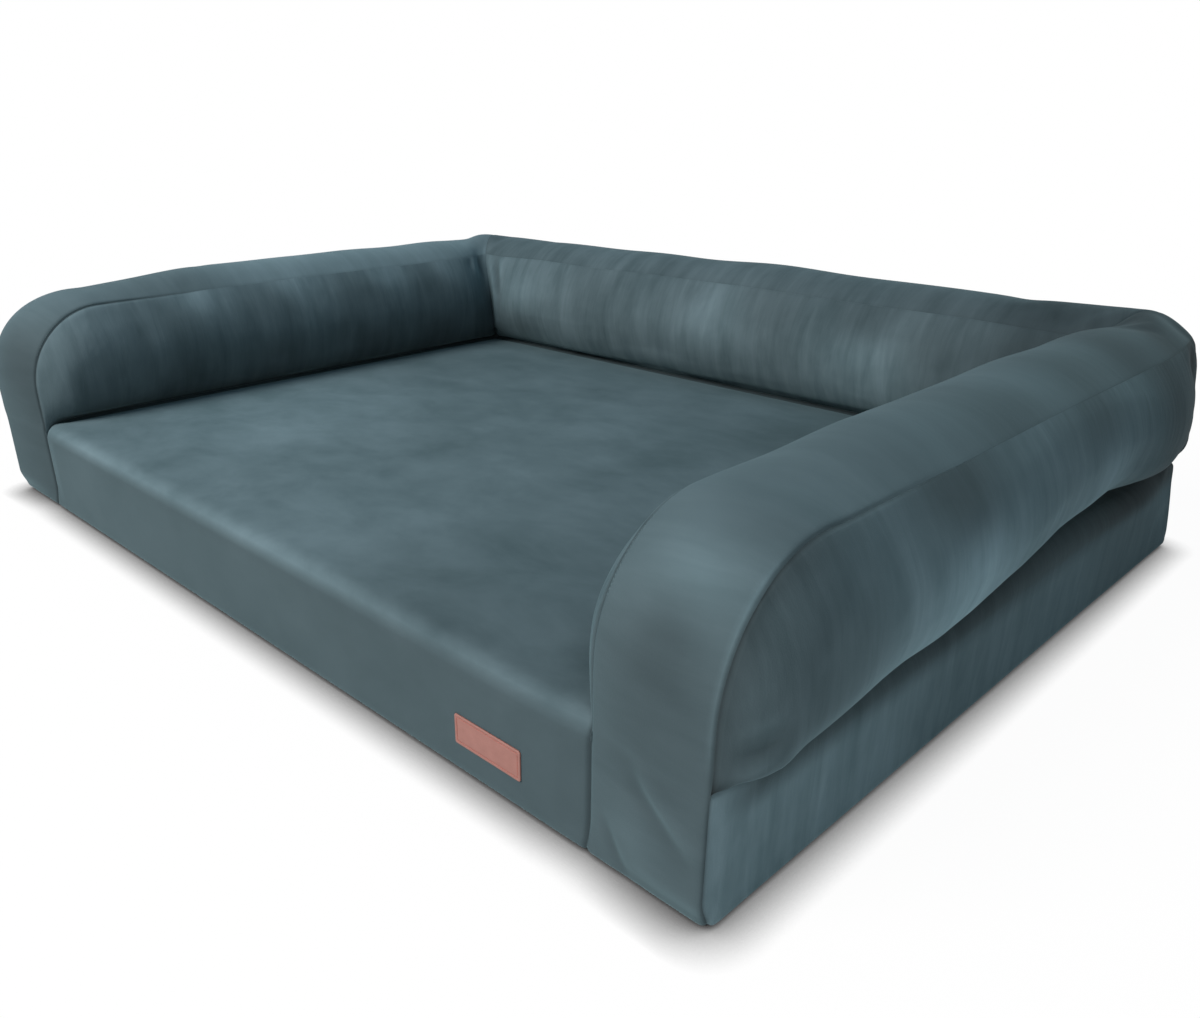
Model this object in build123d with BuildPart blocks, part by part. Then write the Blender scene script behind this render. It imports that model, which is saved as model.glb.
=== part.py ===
from build123d import *
import os

os.makedirs("parts", exist_ok=True)

# Whole bed: X across it, +Y to the back, +Z up, from the middle of the floor face
bed_width = 1200.0
bed_depth = 900.0
mattress_height = 112.0
mattress_crown = 6.0

# Cover cloth, and the slack between a curved filling and the cloth round it
cloth = 2.0
ease = 0.3

# Foam base
base_edge_radius = 24.0
front_edge_radius = 18.0
comfort_foam_thickness = 36.0

# Bolsters: a strip between two seams, with a panel stuffed out on each side of it
bolster_width = 110.0
bolster_height = 255.0
bolster_crown = 25.0
bolster_bulge = 28.0
arm_front_radius = 100.0
crease_ease = 0.5

# How a stuffed panel swells: its reach, and how far its edge has drawn in by then
bulge_reach_shares = (0, 0.54, 0.86, 1)
bulge_draw_shares = (0, 0.13, 0.45, 1)
bulge_edge_draw_share = 0.36
bulge_front_draw_share = 0.1

# How the mattress crown rises from one arm to the other
crown_place_shares = (-1, -0.5, 0, 0.5, 1)
crown_rise_shares = (0, 0.8, 1, 0.8, 0)

# Label patch
label_length = 75.0
label_height = 27.0
label_thickness = 1.4
label_corner_radius = 2.0
label_from_arm_seam = 65.0
label_above_floor = 29.0

# Zip along the rear panel
zip_from_corner = 100.0
zip_window = 14.0
zip_tape_width = 16.0
zip_tape_thickness = 0.6
zip_tape_overrun = 12.0
zip_running_gap = 0.3
zip_pocket_gap = 0.5
coil_width = 2.4
coil_thickness = 1.9
coil_split = 1.4
coil_edge_radius = 0.6
stop_length = 3.0

# Zip slider, its bridge and its pull
slider_length = 11.0
slider_wall = 1.1
slider_post = 0.8
slider_post_length = 3.5
slider_corner_radius = 2.6
bridge_width = 1.8
bridge_length = 8.0
bridge_bar = 1.2
pull_bar = 1.5
pull_width = 7.0
pull_length = 26.0
pull_tip_radius = 2.4
pull_hole_radius = 1.3

# Places worked out from those sizes
half_width = bed_width / 2
half_depth = bed_depth / 2
inner_seam = half_width - bolster_width
inner_back_seam = half_depth - bolster_width
crest_height = bolster_height + bolster_crown
panel_height = bolster_height - mattress_height
edge_draw = panel_height * bulge_edge_draw_share
front_draw = bed_depth * bulge_front_draw_share
arm_radius = min(arm_front_radius, panel_height - crease_ease - 2 * (cloth + ease))
lining_edge = half_width - base_edge_radius
lining_back_edge = half_depth - base_edge_radius
foam_side = half_width - cloth
foam_front = cloth - half_depth
tape_face = half_depth - cloth
inner_plate_face = tape_face - zip_tape_thickness - zip_running_gap
foam_rear = inner_plate_face - slider_wall - zip_pocket_gap
foam_top = mattress_height - cloth
foam_split = foam_top - comfort_foam_thickness
past_corner = bolster_width
zip_length = bed_width - 2 * zip_from_corner
zip_above_floor = mattress_height / 2

# The bolsters meet in 45 degree mitres, from the inner corner out to the corner seam
right_mitre = Plane(origin=(half_width, half_depth, 0), z_dir=(1, -1, 0))
left_mitre = Plane(origin=(-half_width, half_depth, 0), z_dir=(-1, -1, 0))


def base_block(side, front, rear, top, radius):
    """Block on the floor with its side and rear top edges rounded, and its front left square."""
    with BuildPart() as block:
        with BuildSketch(Plane.XZ.offset(-rear)) as across:
            with Locations((0, top / 2)):
                Rectangle(side + side, top)
            fillet(across.vertices().group_by(Axis.Y)[-1], radius)
        extrude(amount=rear - front)
        with BuildSketch(Plane.YZ.offset(-side)) as along:
            with Locations(((front + rear) / 2, top / 2)):
                Rectangle(rear - front, top)
            fillet(along.vertices().group_by(Axis.Y)[-1].sort_by(Axis.X)[-1], radius)
        extrude(amount=side + side, mode=Mode.INTERSECT)
    return block.part


def crowned_block(inset):
    """Mattress between the arms, its top crowned both ways and its front top edge rounded."""
    front = inset - half_depth
    top = mattress_height - inset
    radius = front_edge_radius - inset
    front_top = (front + radius, top)
    rear_top = (inner_back_seam, top)
    with BuildPart() as block:
        for place_share, rise_share in zip(crown_place_shares, crown_rise_shares):
            with BuildSketch(Plane.YZ.offset(inner_seam * place_share)):
                with BuildLine():
                    if rise_share == 0:
                        Line(front_top, rear_top)
                    else:
                        middle = (front + radius + inner_back_seam) / 2
                        ThreePointArc(front_top, (middle, top + mattress_crown * rise_share), rear_top)
                    Line(rear_top, (inner_back_seam, 0))
                    Line((inner_back_seam, 0), (front, 0))
                    Line((front, 0), (front, top - radius))
                    CenterArc((front + radius, top - radius), radius, 90, 90)
                make_face()
        loft()
    return block.part


def arm_form(stations):
    """Loft across an arm, through D-shaped side views that each stand at their own X."""
    with BuildPart() as form:
        for place, front, rear, bottom, top, radius in stations:
            with BuildSketch(Plane.YZ.offset(place)):
                with BuildLine():
                    Line((front + radius, top), (rear, top))
                    Line((rear, top), (rear, bottom))
                    Line((rear, bottom), (front, bottom))
                    Line((front, bottom), (front, top - radius))
                    CenterArc((front + radius, top - radius), radius, 90, 90)
                make_face()
        loft()
    return form.part


def back_form(stations):
    """Loft from front to back through rectangular views that each stand at their own Y."""
    with BuildPart() as form:
        for place, side, bottom, top in stations:
            with BuildSketch(Plane.XZ.offset(-place)):
                with Locations((0, (bottom + top) / 2)):
                    Rectangle(side + side, top - bottom)
        loft()
    return form.part


def arm_middle_form(inset, bottom):
    """Crowned length between an arm's two seams, run on past the back corner."""
    rear = half_depth + past_corner
    front = inset - half_depth
    low = bolster_height - inset
    high = crest_height - inset
    radius = arm_radius - inset
    crown_radius = radius + bolster_crown * (radius / (radius + panel_height))
    middle = (inner_seam + half_width) / 2
    return arm_form(
        [
            (inner_seam, front, rear, bottom, low, radius),
            (middle, front, rear, bottom, high, crown_radius),
            (half_width, front, rear, bottom, low, radius),
        ]
    )


def swelling(inset):
    """Steps of a stuffed panel from its seam outwards: draw share, reach, edge draw, bottom and top."""
    steps = []
    for reach_share, draw_share in zip(bulge_reach_shares, bulge_draw_shares):
        reach = (bolster_bulge - inset) * reach_share
        draw = inset + edge_draw * draw_share
        steps.append((draw_share, reach, draw, mattress_height + crease_ease + draw, bolster_height - draw))
    return steps


def arm_panel_form(inset, seam, way, rear_end):
    """Panel that swells out from an arm's seam, way 1 to the right or -1 to the left."""
    seam_span = panel_height - crease_ease - inset - inset
    stations = []
    for draw_share, reach, draw, bottom, top in swelling(inset):
        front = inset - half_depth + front_draw * draw_share
        radius = (arm_radius - inset) * (top - bottom) / seam_span
        stations.append((seam + way * reach, front, rear_end(draw), bottom, top, radius))
    return arm_form(stations)


def arm_outer_form(inset):
    """Panel that swells out from an arm's outer seams, and draws in again at the back corner."""
    return arm_panel_form(inset, half_width, 1, lambda draw: half_depth - draw)


def arm_inner_form(inset):
    """Panel that swells in over the mattress, run on past the back corner."""
    return arm_panel_form(inset, inner_seam, -1, lambda draw: half_depth + past_corner)


def back_middle_form(inset, bottom):
    """Crowned length between the back's two seams, run on past both corners."""
    side = half_width + past_corner
    middle = (inner_back_seam + half_depth) / 2
    return back_form(
        [
            (inner_back_seam, side, bottom, bolster_height - inset),
            (middle, side, bottom, crest_height - inset),
            (half_depth, side, bottom, bolster_height - inset),
        ]
    )


def back_outer_form(inset):
    """Panel that swells out behind the bed, and draws in again at both corners."""
    return back_form(
        [
            (half_depth + reach, half_width - draw, bottom, top)
            for draw_share, reach, draw, bottom, top in swelling(inset)
        ]
    )


def back_inner_form(inset):
    """Panel that swells forward over the mattress, run on past both corners."""
    return back_form(
        [
            (inner_back_seam - reach, half_width + past_corner, bottom, top)
            for draw_share, reach, draw, bottom, top in swelling(inset)
        ]
    )


# Forms that several pieces are cut from
base_outside = base_block(half_width, -half_depth, half_depth, mattress_height, base_edge_radius)
base_inside = base_block(
    foam_side, -half_depth, half_depth - cloth, foam_top, base_edge_radius - cloth
)
mattress_outside = crowned_block(0)
mattress_inside = crowned_block(cloth)
mattress_filling = crowned_block(cloth + ease)

# Base foam slab
with BuildPart() as base_foam:
    with BuildSketch(Plane.XY.offset(cloth)):
        with Locations((0, (foam_front + foam_rear) / 2)):
            Rectangle(foam_side + foam_side, foam_rear - foam_front)
    extrude(amount=foam_split - cloth)
base_foam.part.label = "base_foam"
export_step(base_foam.part, "parts/base_foam.step")

# Comfort foam layer: level under the bolsters, crowned between them
comfort_block = base_block(foam_side, foam_front, foam_rear, foam_top, base_edge_radius - cloth)
with BuildPart() as comfort_foam:
    add(comfort_block)
    with BuildSketch(Plane.XY.offset(foam_split)):
        with Locations((0, (foam_front + inner_back_seam) / 2)):
            Rectangle(inner_seam + inner_seam, inner_back_seam - foam_front)
    extrude(amount=mattress_height, mode=Mode.SUBTRACT)
    add(mattress_filling)
    split(bisect_by=Plane.XY.offset(foam_split), keep=Keep.TOP)
comfort_foam.part.label = "comfort_foam"
export_step(comfort_foam.part, "parts/comfort_foam.step")

# Mattress panel: one cloth over the lying surface and down the front
with BuildPart() as mattress_panel:
    add(mattress_outside)
    add(mattress_inside, mode=Mode.SUBTRACT)
mattress_panel.part.label = "mattress_panel"
export_step(mattress_panel.part, "parts/mattress_panel.step")

# Underside panel: non-slip cloth that the bed stands on
with BuildPart() as underside_panel:
    with BuildSketch():
        with Locations((0, (foam_front + half_depth - cloth) / 2)):
            Rectangle(foam_side + foam_side, half_depth - cloth - foam_front)
    extrude(amount=cloth)
underside_panel.part.label = "underside_panel"
export_step(underside_panel.part, "parts/underside_panel.step")

# Base side panel of the right side, rounded over the top edge of the foam
with BuildPart() as right_base_side_panel:
    with BuildSketch():
        with Locations(((lining_edge + half_width) / 2, (foam_front + half_depth) / 2)):
            Rectangle(base_edge_radius, half_depth - foam_front)
    extrude(amount=mattress_height)
    add(base_outside, mode=Mode.INTERSECT)
    add(base_inside, mode=Mode.SUBTRACT)
    split(bisect_by=right_mitre, keep=Keep.TOP)

# Lining under the right bolster
with BuildPart() as right_lining:
    with BuildSketch(Plane.XY.offset(foam_top)):
        with Locations(((inner_seam + lining_edge) / 2, (foam_front + half_depth) / 2)):
            Rectangle(lining_edge - inner_seam, half_depth - foam_front)
    extrude(amount=cloth)
    split(bisect_by=right_mitre, keep=Keep.TOP)

# Right bolster's filling
arm_middle_core = arm_middle_form(cloth + ease, mattress_height)
arm_outer_core = arm_outer_form(cloth + ease)
arm_inner_core = arm_inner_form(cloth + ease)
with BuildPart() as right_bolster_filling:
    add(arm_middle_core)
    add(arm_inner_core)
    split(bisect_by=right_mitre, keep=Keep.TOP)
    add(arm_outer_core)

# Right arm strip: up the front from the floor, round and along the top to the back corner
arm_middle_outside = arm_middle_form(0, mattress_height)
arm_middle_inside = arm_middle_form(cloth, mattress_height)
with BuildPart() as right_arm_strip:
    add(arm_middle_outside)
    add(arm_middle_inside, mode=Mode.SUBTRACT)
    split(bisect_by=right_mitre, keep=Keep.TOP)
    with BuildSketch():
        with Locations(((inner_seam + half_width) / 2, (foam_front - half_depth) / 2)):
            Rectangle(bolster_width, cloth)
    extrude(amount=mattress_height)

# Right arm's outer and inner side panels
arm_outer_outside = arm_outer_form(0)
arm_outer_inside = arm_outer_form(cloth)
with BuildPart() as right_arm_outer_panel:
    add(arm_outer_outside)
    add(arm_outer_inside, mode=Mode.SUBTRACT)

arm_inner_outside = arm_inner_form(0)
arm_inner_inside = arm_inner_form(cloth)
with BuildPart() as right_arm_inner_panel:
    add(arm_inner_outside)
    add(arm_inner_inside, mode=Mode.SUBTRACT)
    split(bisect_by=right_mitre, keep=Keep.TOP)

# The left side is the right side mirrored
right_pieces = {
    "base_side_panel": right_base_side_panel,
    "lining": right_lining,
    "bolster_filling": right_bolster_filling,
    "arm_strip": right_arm_strip,
    "arm_outer_panel": right_arm_outer_panel,
    "arm_inner_panel": right_arm_inner_panel,
}
for piece_name, right_piece in right_pieces.items():
    with BuildPart() as left_piece:
        mirror(right_piece.part, about=Plane.YZ)
    for side_name, piece in (("right", right_piece), ("left", left_piece)):
        piece.part.label = f"{side_name}_{piece_name}"
        export_step(piece.part, f"parts/{side_name}_{piece_name}.step")

# Lining under the back bolster
with BuildPart() as back_lining:
    with BuildSketch(Plane.XY.offset(foam_top)):
        with Locations((0, (inner_back_seam + lining_back_edge) / 2)):
            Rectangle(bed_width, lining_back_edge - inner_back_seam)
    extrude(amount=cloth)
    split(bisect_by=right_mitre, keep=Keep.BOTTOM)
    split(bisect_by=left_mitre, keep=Keep.BOTTOM)
back_lining.part.label = "back_lining"
export_step(back_lining.part, "parts/back_lining.step")

# Back bolster's filling
back_middle_core = back_middle_form(cloth + ease, mattress_height)
back_outer_core = back_outer_form(cloth + ease)
back_inner_core = back_inner_form(cloth + ease)
with BuildPart() as back_bolster_filling:
    add(back_middle_core)
    add(back_inner_core)
    split(bisect_by=right_mitre, keep=Keep.BOTTOM)
    split(bisect_by=left_mitre, keep=Keep.BOTTOM)
    add(back_outer_core)
back_bolster_filling.part.label = "back_bolster_filling"
export_step(back_bolster_filling.part, "parts/back_bolster_filling.step")

# Back top strip, outer panel and inner panel
back_middle_outside = back_middle_form(0, mattress_height)
back_middle_inside = back_middle_form(cloth, mattress_height)
with BuildPart() as back_top_strip:
    add(back_middle_outside)
    add(back_middle_inside, mode=Mode.SUBTRACT)
    split(bisect_by=right_mitre, keep=Keep.BOTTOM)
    split(bisect_by=left_mitre, keep=Keep.BOTTOM)
back_top_strip.part.label = "back_top_strip"
export_step(back_top_strip.part, "parts/back_top_strip.step")

back_outer_outside = back_outer_form(0)
back_outer_inside = back_outer_form(cloth)
with BuildPart() as back_outer_panel:
    add(back_outer_outside)
    add(back_outer_inside, mode=Mode.SUBTRACT)
back_outer_panel.part.label = "back_outer_panel"
export_step(back_outer_panel.part, "parts/back_outer_panel.step")

back_inner_outside = back_inner_form(0)
back_inner_inside = back_inner_form(cloth)
with BuildPart() as back_inner_panel:
    add(back_inner_outside)
    add(back_inner_inside, mode=Mode.SUBTRACT)
    split(bisect_by=right_mitre, keep=Keep.BOTTOM)
    split(bisect_by=left_mitre, keep=Keep.BOTTOM)
back_inner_panel.part.label = "back_inner_panel"
export_step(back_inner_panel.part, "parts/back_inner_panel.step")

# Label patch, bare, on the front near the right arm
with BuildPart() as label_patch:
    label_place = (
        inner_seam - label_from_arm_seam - label_length / 2,
        label_above_floor + label_height / 2,
    )
    with BuildSketch(Plane.XZ.offset(half_depth)):
        with Locations(label_place):
            RectangleRounded(label_length, label_height, label_corner_radius)
    extrude(amount=label_thickness)
label_patch.part.label = "label_patch"
export_step(label_patch.part, "parts/label_patch.step")

# Rear base panel in two halves, which meet beside the zip and leave a window along it
window_length = zip_length + zip_tape_overrun
for panel_name, low, high in (
    ("rear_lower_panel", 0, zip_above_floor),
    ("rear_upper_panel", zip_above_floor, mattress_height),
):
    with BuildPart() as rear_panel:
        with BuildSketch(Plane.XZ.offset(-half_depth)):
            with Locations((0, (low + high) / 2)):
                Rectangle(bed_width, high - low)
            with Locations((0, zip_above_floor)):
                Rectangle(window_length, zip_window, mode=Mode.SUBTRACT)
        extrude(amount=base_edge_radius)
        add(base_outside, mode=Mode.INTERSECT)
        add(base_inside, mode=Mode.SUBTRACT)
        split(bisect_by=right_mitre, keep=Keep.BOTTOM)
        split(bisect_by=left_mitre, keep=Keep.BOTTOM)
    rear_panel.part.label = panel_name
    export_step(rear_panel.part, f"parts/{panel_name}.step")

# Zip: a tape behind each half of the panel, and a coil along each tape's free edge
coil_face = tape_face + coil_thickness
coil_edge = coil_split / 2
tape_length = window_length + zip_tape_overrun
for half_name, way in (("upper", 1), ("lower", -1)):
    with BuildPart() as zip_tape:
        with BuildSketch(Plane.XZ.offset(zip_tape_thickness - tape_face)):
            with Locations((0, zip_above_floor + way * (coil_edge + zip_tape_width / 2))):
                Rectangle(tape_length, zip_tape_width)
        extrude(amount=-zip_tape_thickness)
    zip_tape.part.label = f"zip_{half_name}_tape"
    export_step(zip_tape.part, f"parts/zip_{half_name}_tape.step")

    with BuildPart() as zip_coil:
        with BuildSketch(Plane.YZ.offset(-zip_length / 2)) as coil_end:
            coil_middle = zip_above_floor + way * (coil_edge + coil_width / 2)
            with Locations(((tape_face + coil_face) / 2, coil_middle)):
                Rectangle(coil_thickness, coil_width)
            fillet(coil_end.vertices().group_by(Axis.X)[-1], coil_edge_radius)
        extrude(amount=zip_length)
    zip_coil.part.label = f"zip_{half_name}_coil"
    export_step(zip_coil.part, f"parts/zip_{half_name}_coil.step")

# Zip stops: one on each coil half where the zip closes, and one across both at the far end
coil_pair = coil_split + coil_width + coil_width
with BuildPart() as zip_stops:
    with BuildSketch(Plane.XZ.offset(-tape_face)):
        for way in (1, -1):
            with Locations(
                (
                    (zip_length + stop_length) / 2,
                    zip_above_floor + way * (coil_edge + coil_width / 2),
                )
            ):
                Rectangle(stop_length, coil_width)
        with Locations((-(zip_length + stop_length) / 2, zip_above_floor)):
            Rectangle(stop_length, coil_pair)
    extrude(amount=-coil_thickness)
zip_stops.part.label = "zip_stops"
export_step(zip_stops.part, "parts/zip_stops.step")

# Slider: an inner and an outer plate, joined by a post that runs between the coils
outer_plate_floor = coil_face + zip_running_gap
outer_plate_face = outer_plate_floor + slider_wall
flange_start = coil_pair / 2 + zip_running_gap
slider_height = 2 * (flange_start + slider_wall)
slider_middle = (zip_length - slider_length) / 2 - stop_length
hinge_face = outer_plate_face + zip_running_gap + pull_bar / 2
bridge_top = hinge_face + pull_bar / 2 + zip_running_gap + bridge_bar
with BuildPart() as zip_slider:
    for near_face, far_face in (
        (inner_plate_face - slider_wall, inner_plate_face),
        (outer_plate_floor, outer_plate_face),
    ):
        with BuildSketch(Plane.XZ.offset(-near_face)):
            with Locations((slider_middle, zip_above_floor)):
                RectangleRounded(slider_length, slider_height, slider_corner_radius)
        extrude(amount=near_face - far_face)
    with BuildSketch(Plane.XZ.offset(-inner_plate_face)):
        with Locations((slider_middle, zip_above_floor)):
            Rectangle(slider_post_length, slider_post)
    extrude(amount=inner_plate_face - outer_plate_floor)
    with BuildSketch(Plane.XZ.offset(-(tape_face + zip_running_gap))):
        for way in (1, -1):
            with Locations((slider_middle, zip_above_floor + way * (flange_start + slider_wall / 2))):
                Rectangle(slider_length - 2 * slider_corner_radius, slider_wall)
    extrude(amount=tape_face + zip_running_gap - outer_plate_floor)
    with BuildSketch(Plane.XZ.offset(-outer_plate_face)):
        with Locations((slider_middle, zip_above_floor)):
            Rectangle(bridge_length, bridge_width)
            Rectangle(bridge_length - 2 * bridge_bar, bridge_width, mode=Mode.SUBTRACT)
    extrude(amount=outer_plate_face - bridge_top)
    with BuildSketch(Plane.XZ.offset(bridge_bar - bridge_top)):
        with Locations((slider_middle, zip_above_floor)):
            Rectangle(bridge_length, bridge_width)
    extrude(amount=-bridge_bar)
zip_slider.part.label = "zip_slider"
export_step(zip_slider.part, "parts/zip_slider.step")

# Pull: its round bar turns under the bridge, and its eye clears the bridge as it swings over
eye_reach = bridge_length / 2 + bridge_top - hinge_face + zip_running_gap
eye_half = bridge_width / 2 + zip_running_gap
with BuildPart() as zip_pull:
    with BuildSketch(Plane.XZ.offset(pull_bar / 2 - hinge_face)) as pull_face:
        with Locations((slider_middle - pull_length / 2, zip_above_floor)):
            Rectangle(pull_length, pull_width)
        fillet(pull_face.vertices().group_by(Axis.X)[0], pull_tip_radius)
        with Locations((slider_middle - eye_reach / 2, zip_above_floor)):
            Rectangle(eye_reach, eye_half + eye_half, mode=Mode.SUBTRACT)
        with Locations((slider_middle - pull_length + pull_width / 2, zip_above_floor)):
            Circle(pull_hole_radius, mode=Mode.SUBTRACT)
    extrude(amount=-pull_bar)
    with BuildSketch(Plane.XY.offset(zip_above_floor - pull_width / 2)):
        with Locations((slider_middle, hinge_face)):
            Circle(pull_bar / 2)
    extrude(amount=pull_width)
zip_pull.part.label = "zip_pull"
export_step(zip_pull.part, "parts/zip_pull.step")
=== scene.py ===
import functools
import math
from dataclasses import dataclass

import bmesh
import bpy
import numpy as np
from bpy.props import FloatProperty, PointerProperty, StringProperty
from mathutils import Euler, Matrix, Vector


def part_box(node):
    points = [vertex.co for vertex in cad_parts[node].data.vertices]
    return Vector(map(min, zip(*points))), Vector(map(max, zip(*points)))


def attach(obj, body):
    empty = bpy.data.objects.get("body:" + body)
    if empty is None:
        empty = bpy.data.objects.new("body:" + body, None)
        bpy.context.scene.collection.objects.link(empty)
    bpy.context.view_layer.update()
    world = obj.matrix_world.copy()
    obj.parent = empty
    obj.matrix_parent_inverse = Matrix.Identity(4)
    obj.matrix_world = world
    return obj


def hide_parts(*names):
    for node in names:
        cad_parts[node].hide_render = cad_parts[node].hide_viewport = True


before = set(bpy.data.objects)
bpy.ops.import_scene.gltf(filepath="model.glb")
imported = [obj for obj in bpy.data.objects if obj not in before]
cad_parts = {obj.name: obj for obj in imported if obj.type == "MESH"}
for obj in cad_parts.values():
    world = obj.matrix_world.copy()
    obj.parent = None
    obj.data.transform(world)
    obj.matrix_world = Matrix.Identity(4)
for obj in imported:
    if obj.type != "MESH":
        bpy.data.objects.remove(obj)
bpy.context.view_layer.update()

bl_info = {
    "name": "Sofa pet bed",
    "version": (1, 0, 0),
    "blender": (4, 5, 0),
    "location": "3D View > Sidebar > Pet bed",
    "description": "Builds the cover, fillings, label and zip of a sofa-style pet bed on its frame",
    "category": "Object",
}

MM = 0.001

# Places that the frame gives: X across the bed, +Y to its back, +Z up
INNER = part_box("mattress_panel")[1].x
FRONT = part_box("mattress_panel")[0].y
INNER_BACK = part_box("mattress_panel")[1].y
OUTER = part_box("right_arm_strip")[1].x
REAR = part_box("rear_lower_panel")[1].y
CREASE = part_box("right_arm_outer_panel")[0].z
SEAM_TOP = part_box("right_arm_outer_panel")[1].z
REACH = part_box("right_arm_outer_panel")[1].x - OUTER
MATTRESS_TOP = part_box("mattress_panel")[1].z
ZIP_HEIGHT = (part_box("zip_lower_tape")[0].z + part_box("zip_upper_tape")[1].z) / 2
ZIP_WINDOW = 14 * MM

# Grid counts of the cover's cloth. Panels that share a seam share its counts.
STRIP_COLUMNS = 22
BASE_ROWS = 20
EDGE_ROWS = 16
ARM_FRONT_ROWS = 24
ARM_TOP_ROWS = 150
EDGE_TURN_ROWS = 6
MATTRESS_ROWS = ARM_TOP_ROWS - EDGE_TURN_ROWS
MATTRESS_COLUMNS = 190
BACK_ROWS = MATTRESS_COLUMNS
WINDOW_ROWS = 80
REAR_COLUMNS = 10

# Cells that points are welded in, and the rounds that place a panel's inner points
WELD_GAP = 1e-5
WELD_SHIFT = 0.37
FILLING_ROUNDS = 300

# Ramps, each with where it starts and how long it is, in metres or as a share
FACE_SWELL_RAMP = (0, 0.15)
TOP_SWELL_RAMP = (0.17, 0.2)
BOW_RAMP = (0.1, 0.12)
SEAM_HELD_RAMP = (0.2, 0.15)
TOP_REACH_RAMP = (0.1, 0.2)
LIFT_RAMP = (-0.2, 0.25)
BOLSTER_ROUND_RAMP = (0.1, 0.09)
CORNER_ROUND_RAMP = (0.09, 0.03)
LEAN_RAMP = (0.12, 0.13)
CREASE_START_RAMP = (0.012, 0.03)
MATTRESS_TOP_RAMP = (0.096, 0.012)
# The next ramps place the painted shade by an outer panel's front and on a base side, and the painted
# highlight along a strip's seam
FRONT_SHADE_RAMP = (0.05, 0.1)
BASE_SHADE_RAMP = (74 * MM, 24 * MM)
RIM_GLOW_RISE = (0.12, 0.03)
RIM_GLOW_END = (0.03, 0.04)
ROLL_RISE = (0.18, 0.04)
ROLL_FADE = (0.1, 0.16)

# How the stuffing swells a strip and leans an arm's inner front seam back
FACE_SWELL = 7 * MM
TOP_SWELL = 15 * MM
INNER_LEAN = 4 * MM
FLOOR_RAMP = 0.03

# How far in from a seam, a corner and a foot a panel is full, and how fast it fills
SEAM_REACH = 45 * MM
TOP_REACH = 30 * MM
CORNER_REACH = 70 * MM
FOOT_REACH = 42 * MM
FOOT_POWER = 2.4
BULGE_POWER = 2.2

# Where a panel's shape eases in: by the mitre, under the bulge, up the base and over the mattress
MITRE_RAMP = 0.12
PULL_FROM_FRONT = 0.06
PULL_FROM_REAR = 0.07
LIFT_END = 0.32
LIFT_FALL = 0.2
CREASE_LIFT = 14 * MM
LEDGE_SLOPE = 0.35
BASE_FRONT_RAMP = 0.08
CROWN_FROM_FRONT = 0.1
CROWN_FROM_BACK = 0.15
LEAN_SHARE = 0.06

# The bolsters' leaning inner back corners, and the ear past the left one
CORNER_LEAN = 22 * MM
LEAN_SPREAD = 0.09
EAR_HEIGHT = 4.5 * MM
EAR_PLACE = (0.035, 0.015)
EAR_SPREAD = 0.038
EAR_FOOT = 0.24

# Radii of the base's bottom edge, of its upright corners and of the bolsters' rear corners, and how
# near the outline a point lies for the bottom edge to take it in
RIM = 12 * MM
EDGE_ROUND = 5 * MM
CORNER_ROUND = 9 * MM
BOLSTER_ROUND = 45 * MM

# How far the stuffing pulls in the rear corners at each height, and how far along the sides
CORNER_HEIGHTS = np.array([20, 65, 112, 142, 166, 190, 214, 232, 250]) * MM
CORNER_PULLS = np.array([0, 5, 11, 19, 25, 29, 28, 22, 16]) * MM
CORNER_SPREADS = np.array([80, 80, 200, 200, 200, 200, 200, 200, 200]) * MM

# Lumps of the stuffing, and the cloth simulation that fills the bolsters out
LUMP_HEIGHT = 1.2 * MM
LUMP_WAVES = 14
LUMP_SPREAD = (0.6, 1.4)
LUMP_SIZE = 0.09
PRESSURE = 2.5
CLOTH_SPARE = 0.004
SWELL_CAP = 5 * MM
HELD_FAST = 0.95
SIMULATED_FRAMES = 12
FILLING_GAP = 5 * MM

# Crease under an arm's outer bulge, from front to back: how far it is drawn in, and how slowly
# the bulge fills out
CREASE_PLACES = np.array([-450, -430, -300, -150, 0, 80, 140, 250, 330, 400, 450]) * MM
CREASE_INSETS = np.array([8, 14, 22, 26, 32, 38, 42, 42, 36, 24, 12]) * MM
BULGE_PLACES = np.array([-428, -338, -273, -199, -117, -42, 41, 87, 144, 193, 243, 304, 450]) * MM
BULGE_RISES = np.array([16, 20, 26, 30, 40, 48, 60, 64, 58, 48, 36, 28, 34]) * MM

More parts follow.
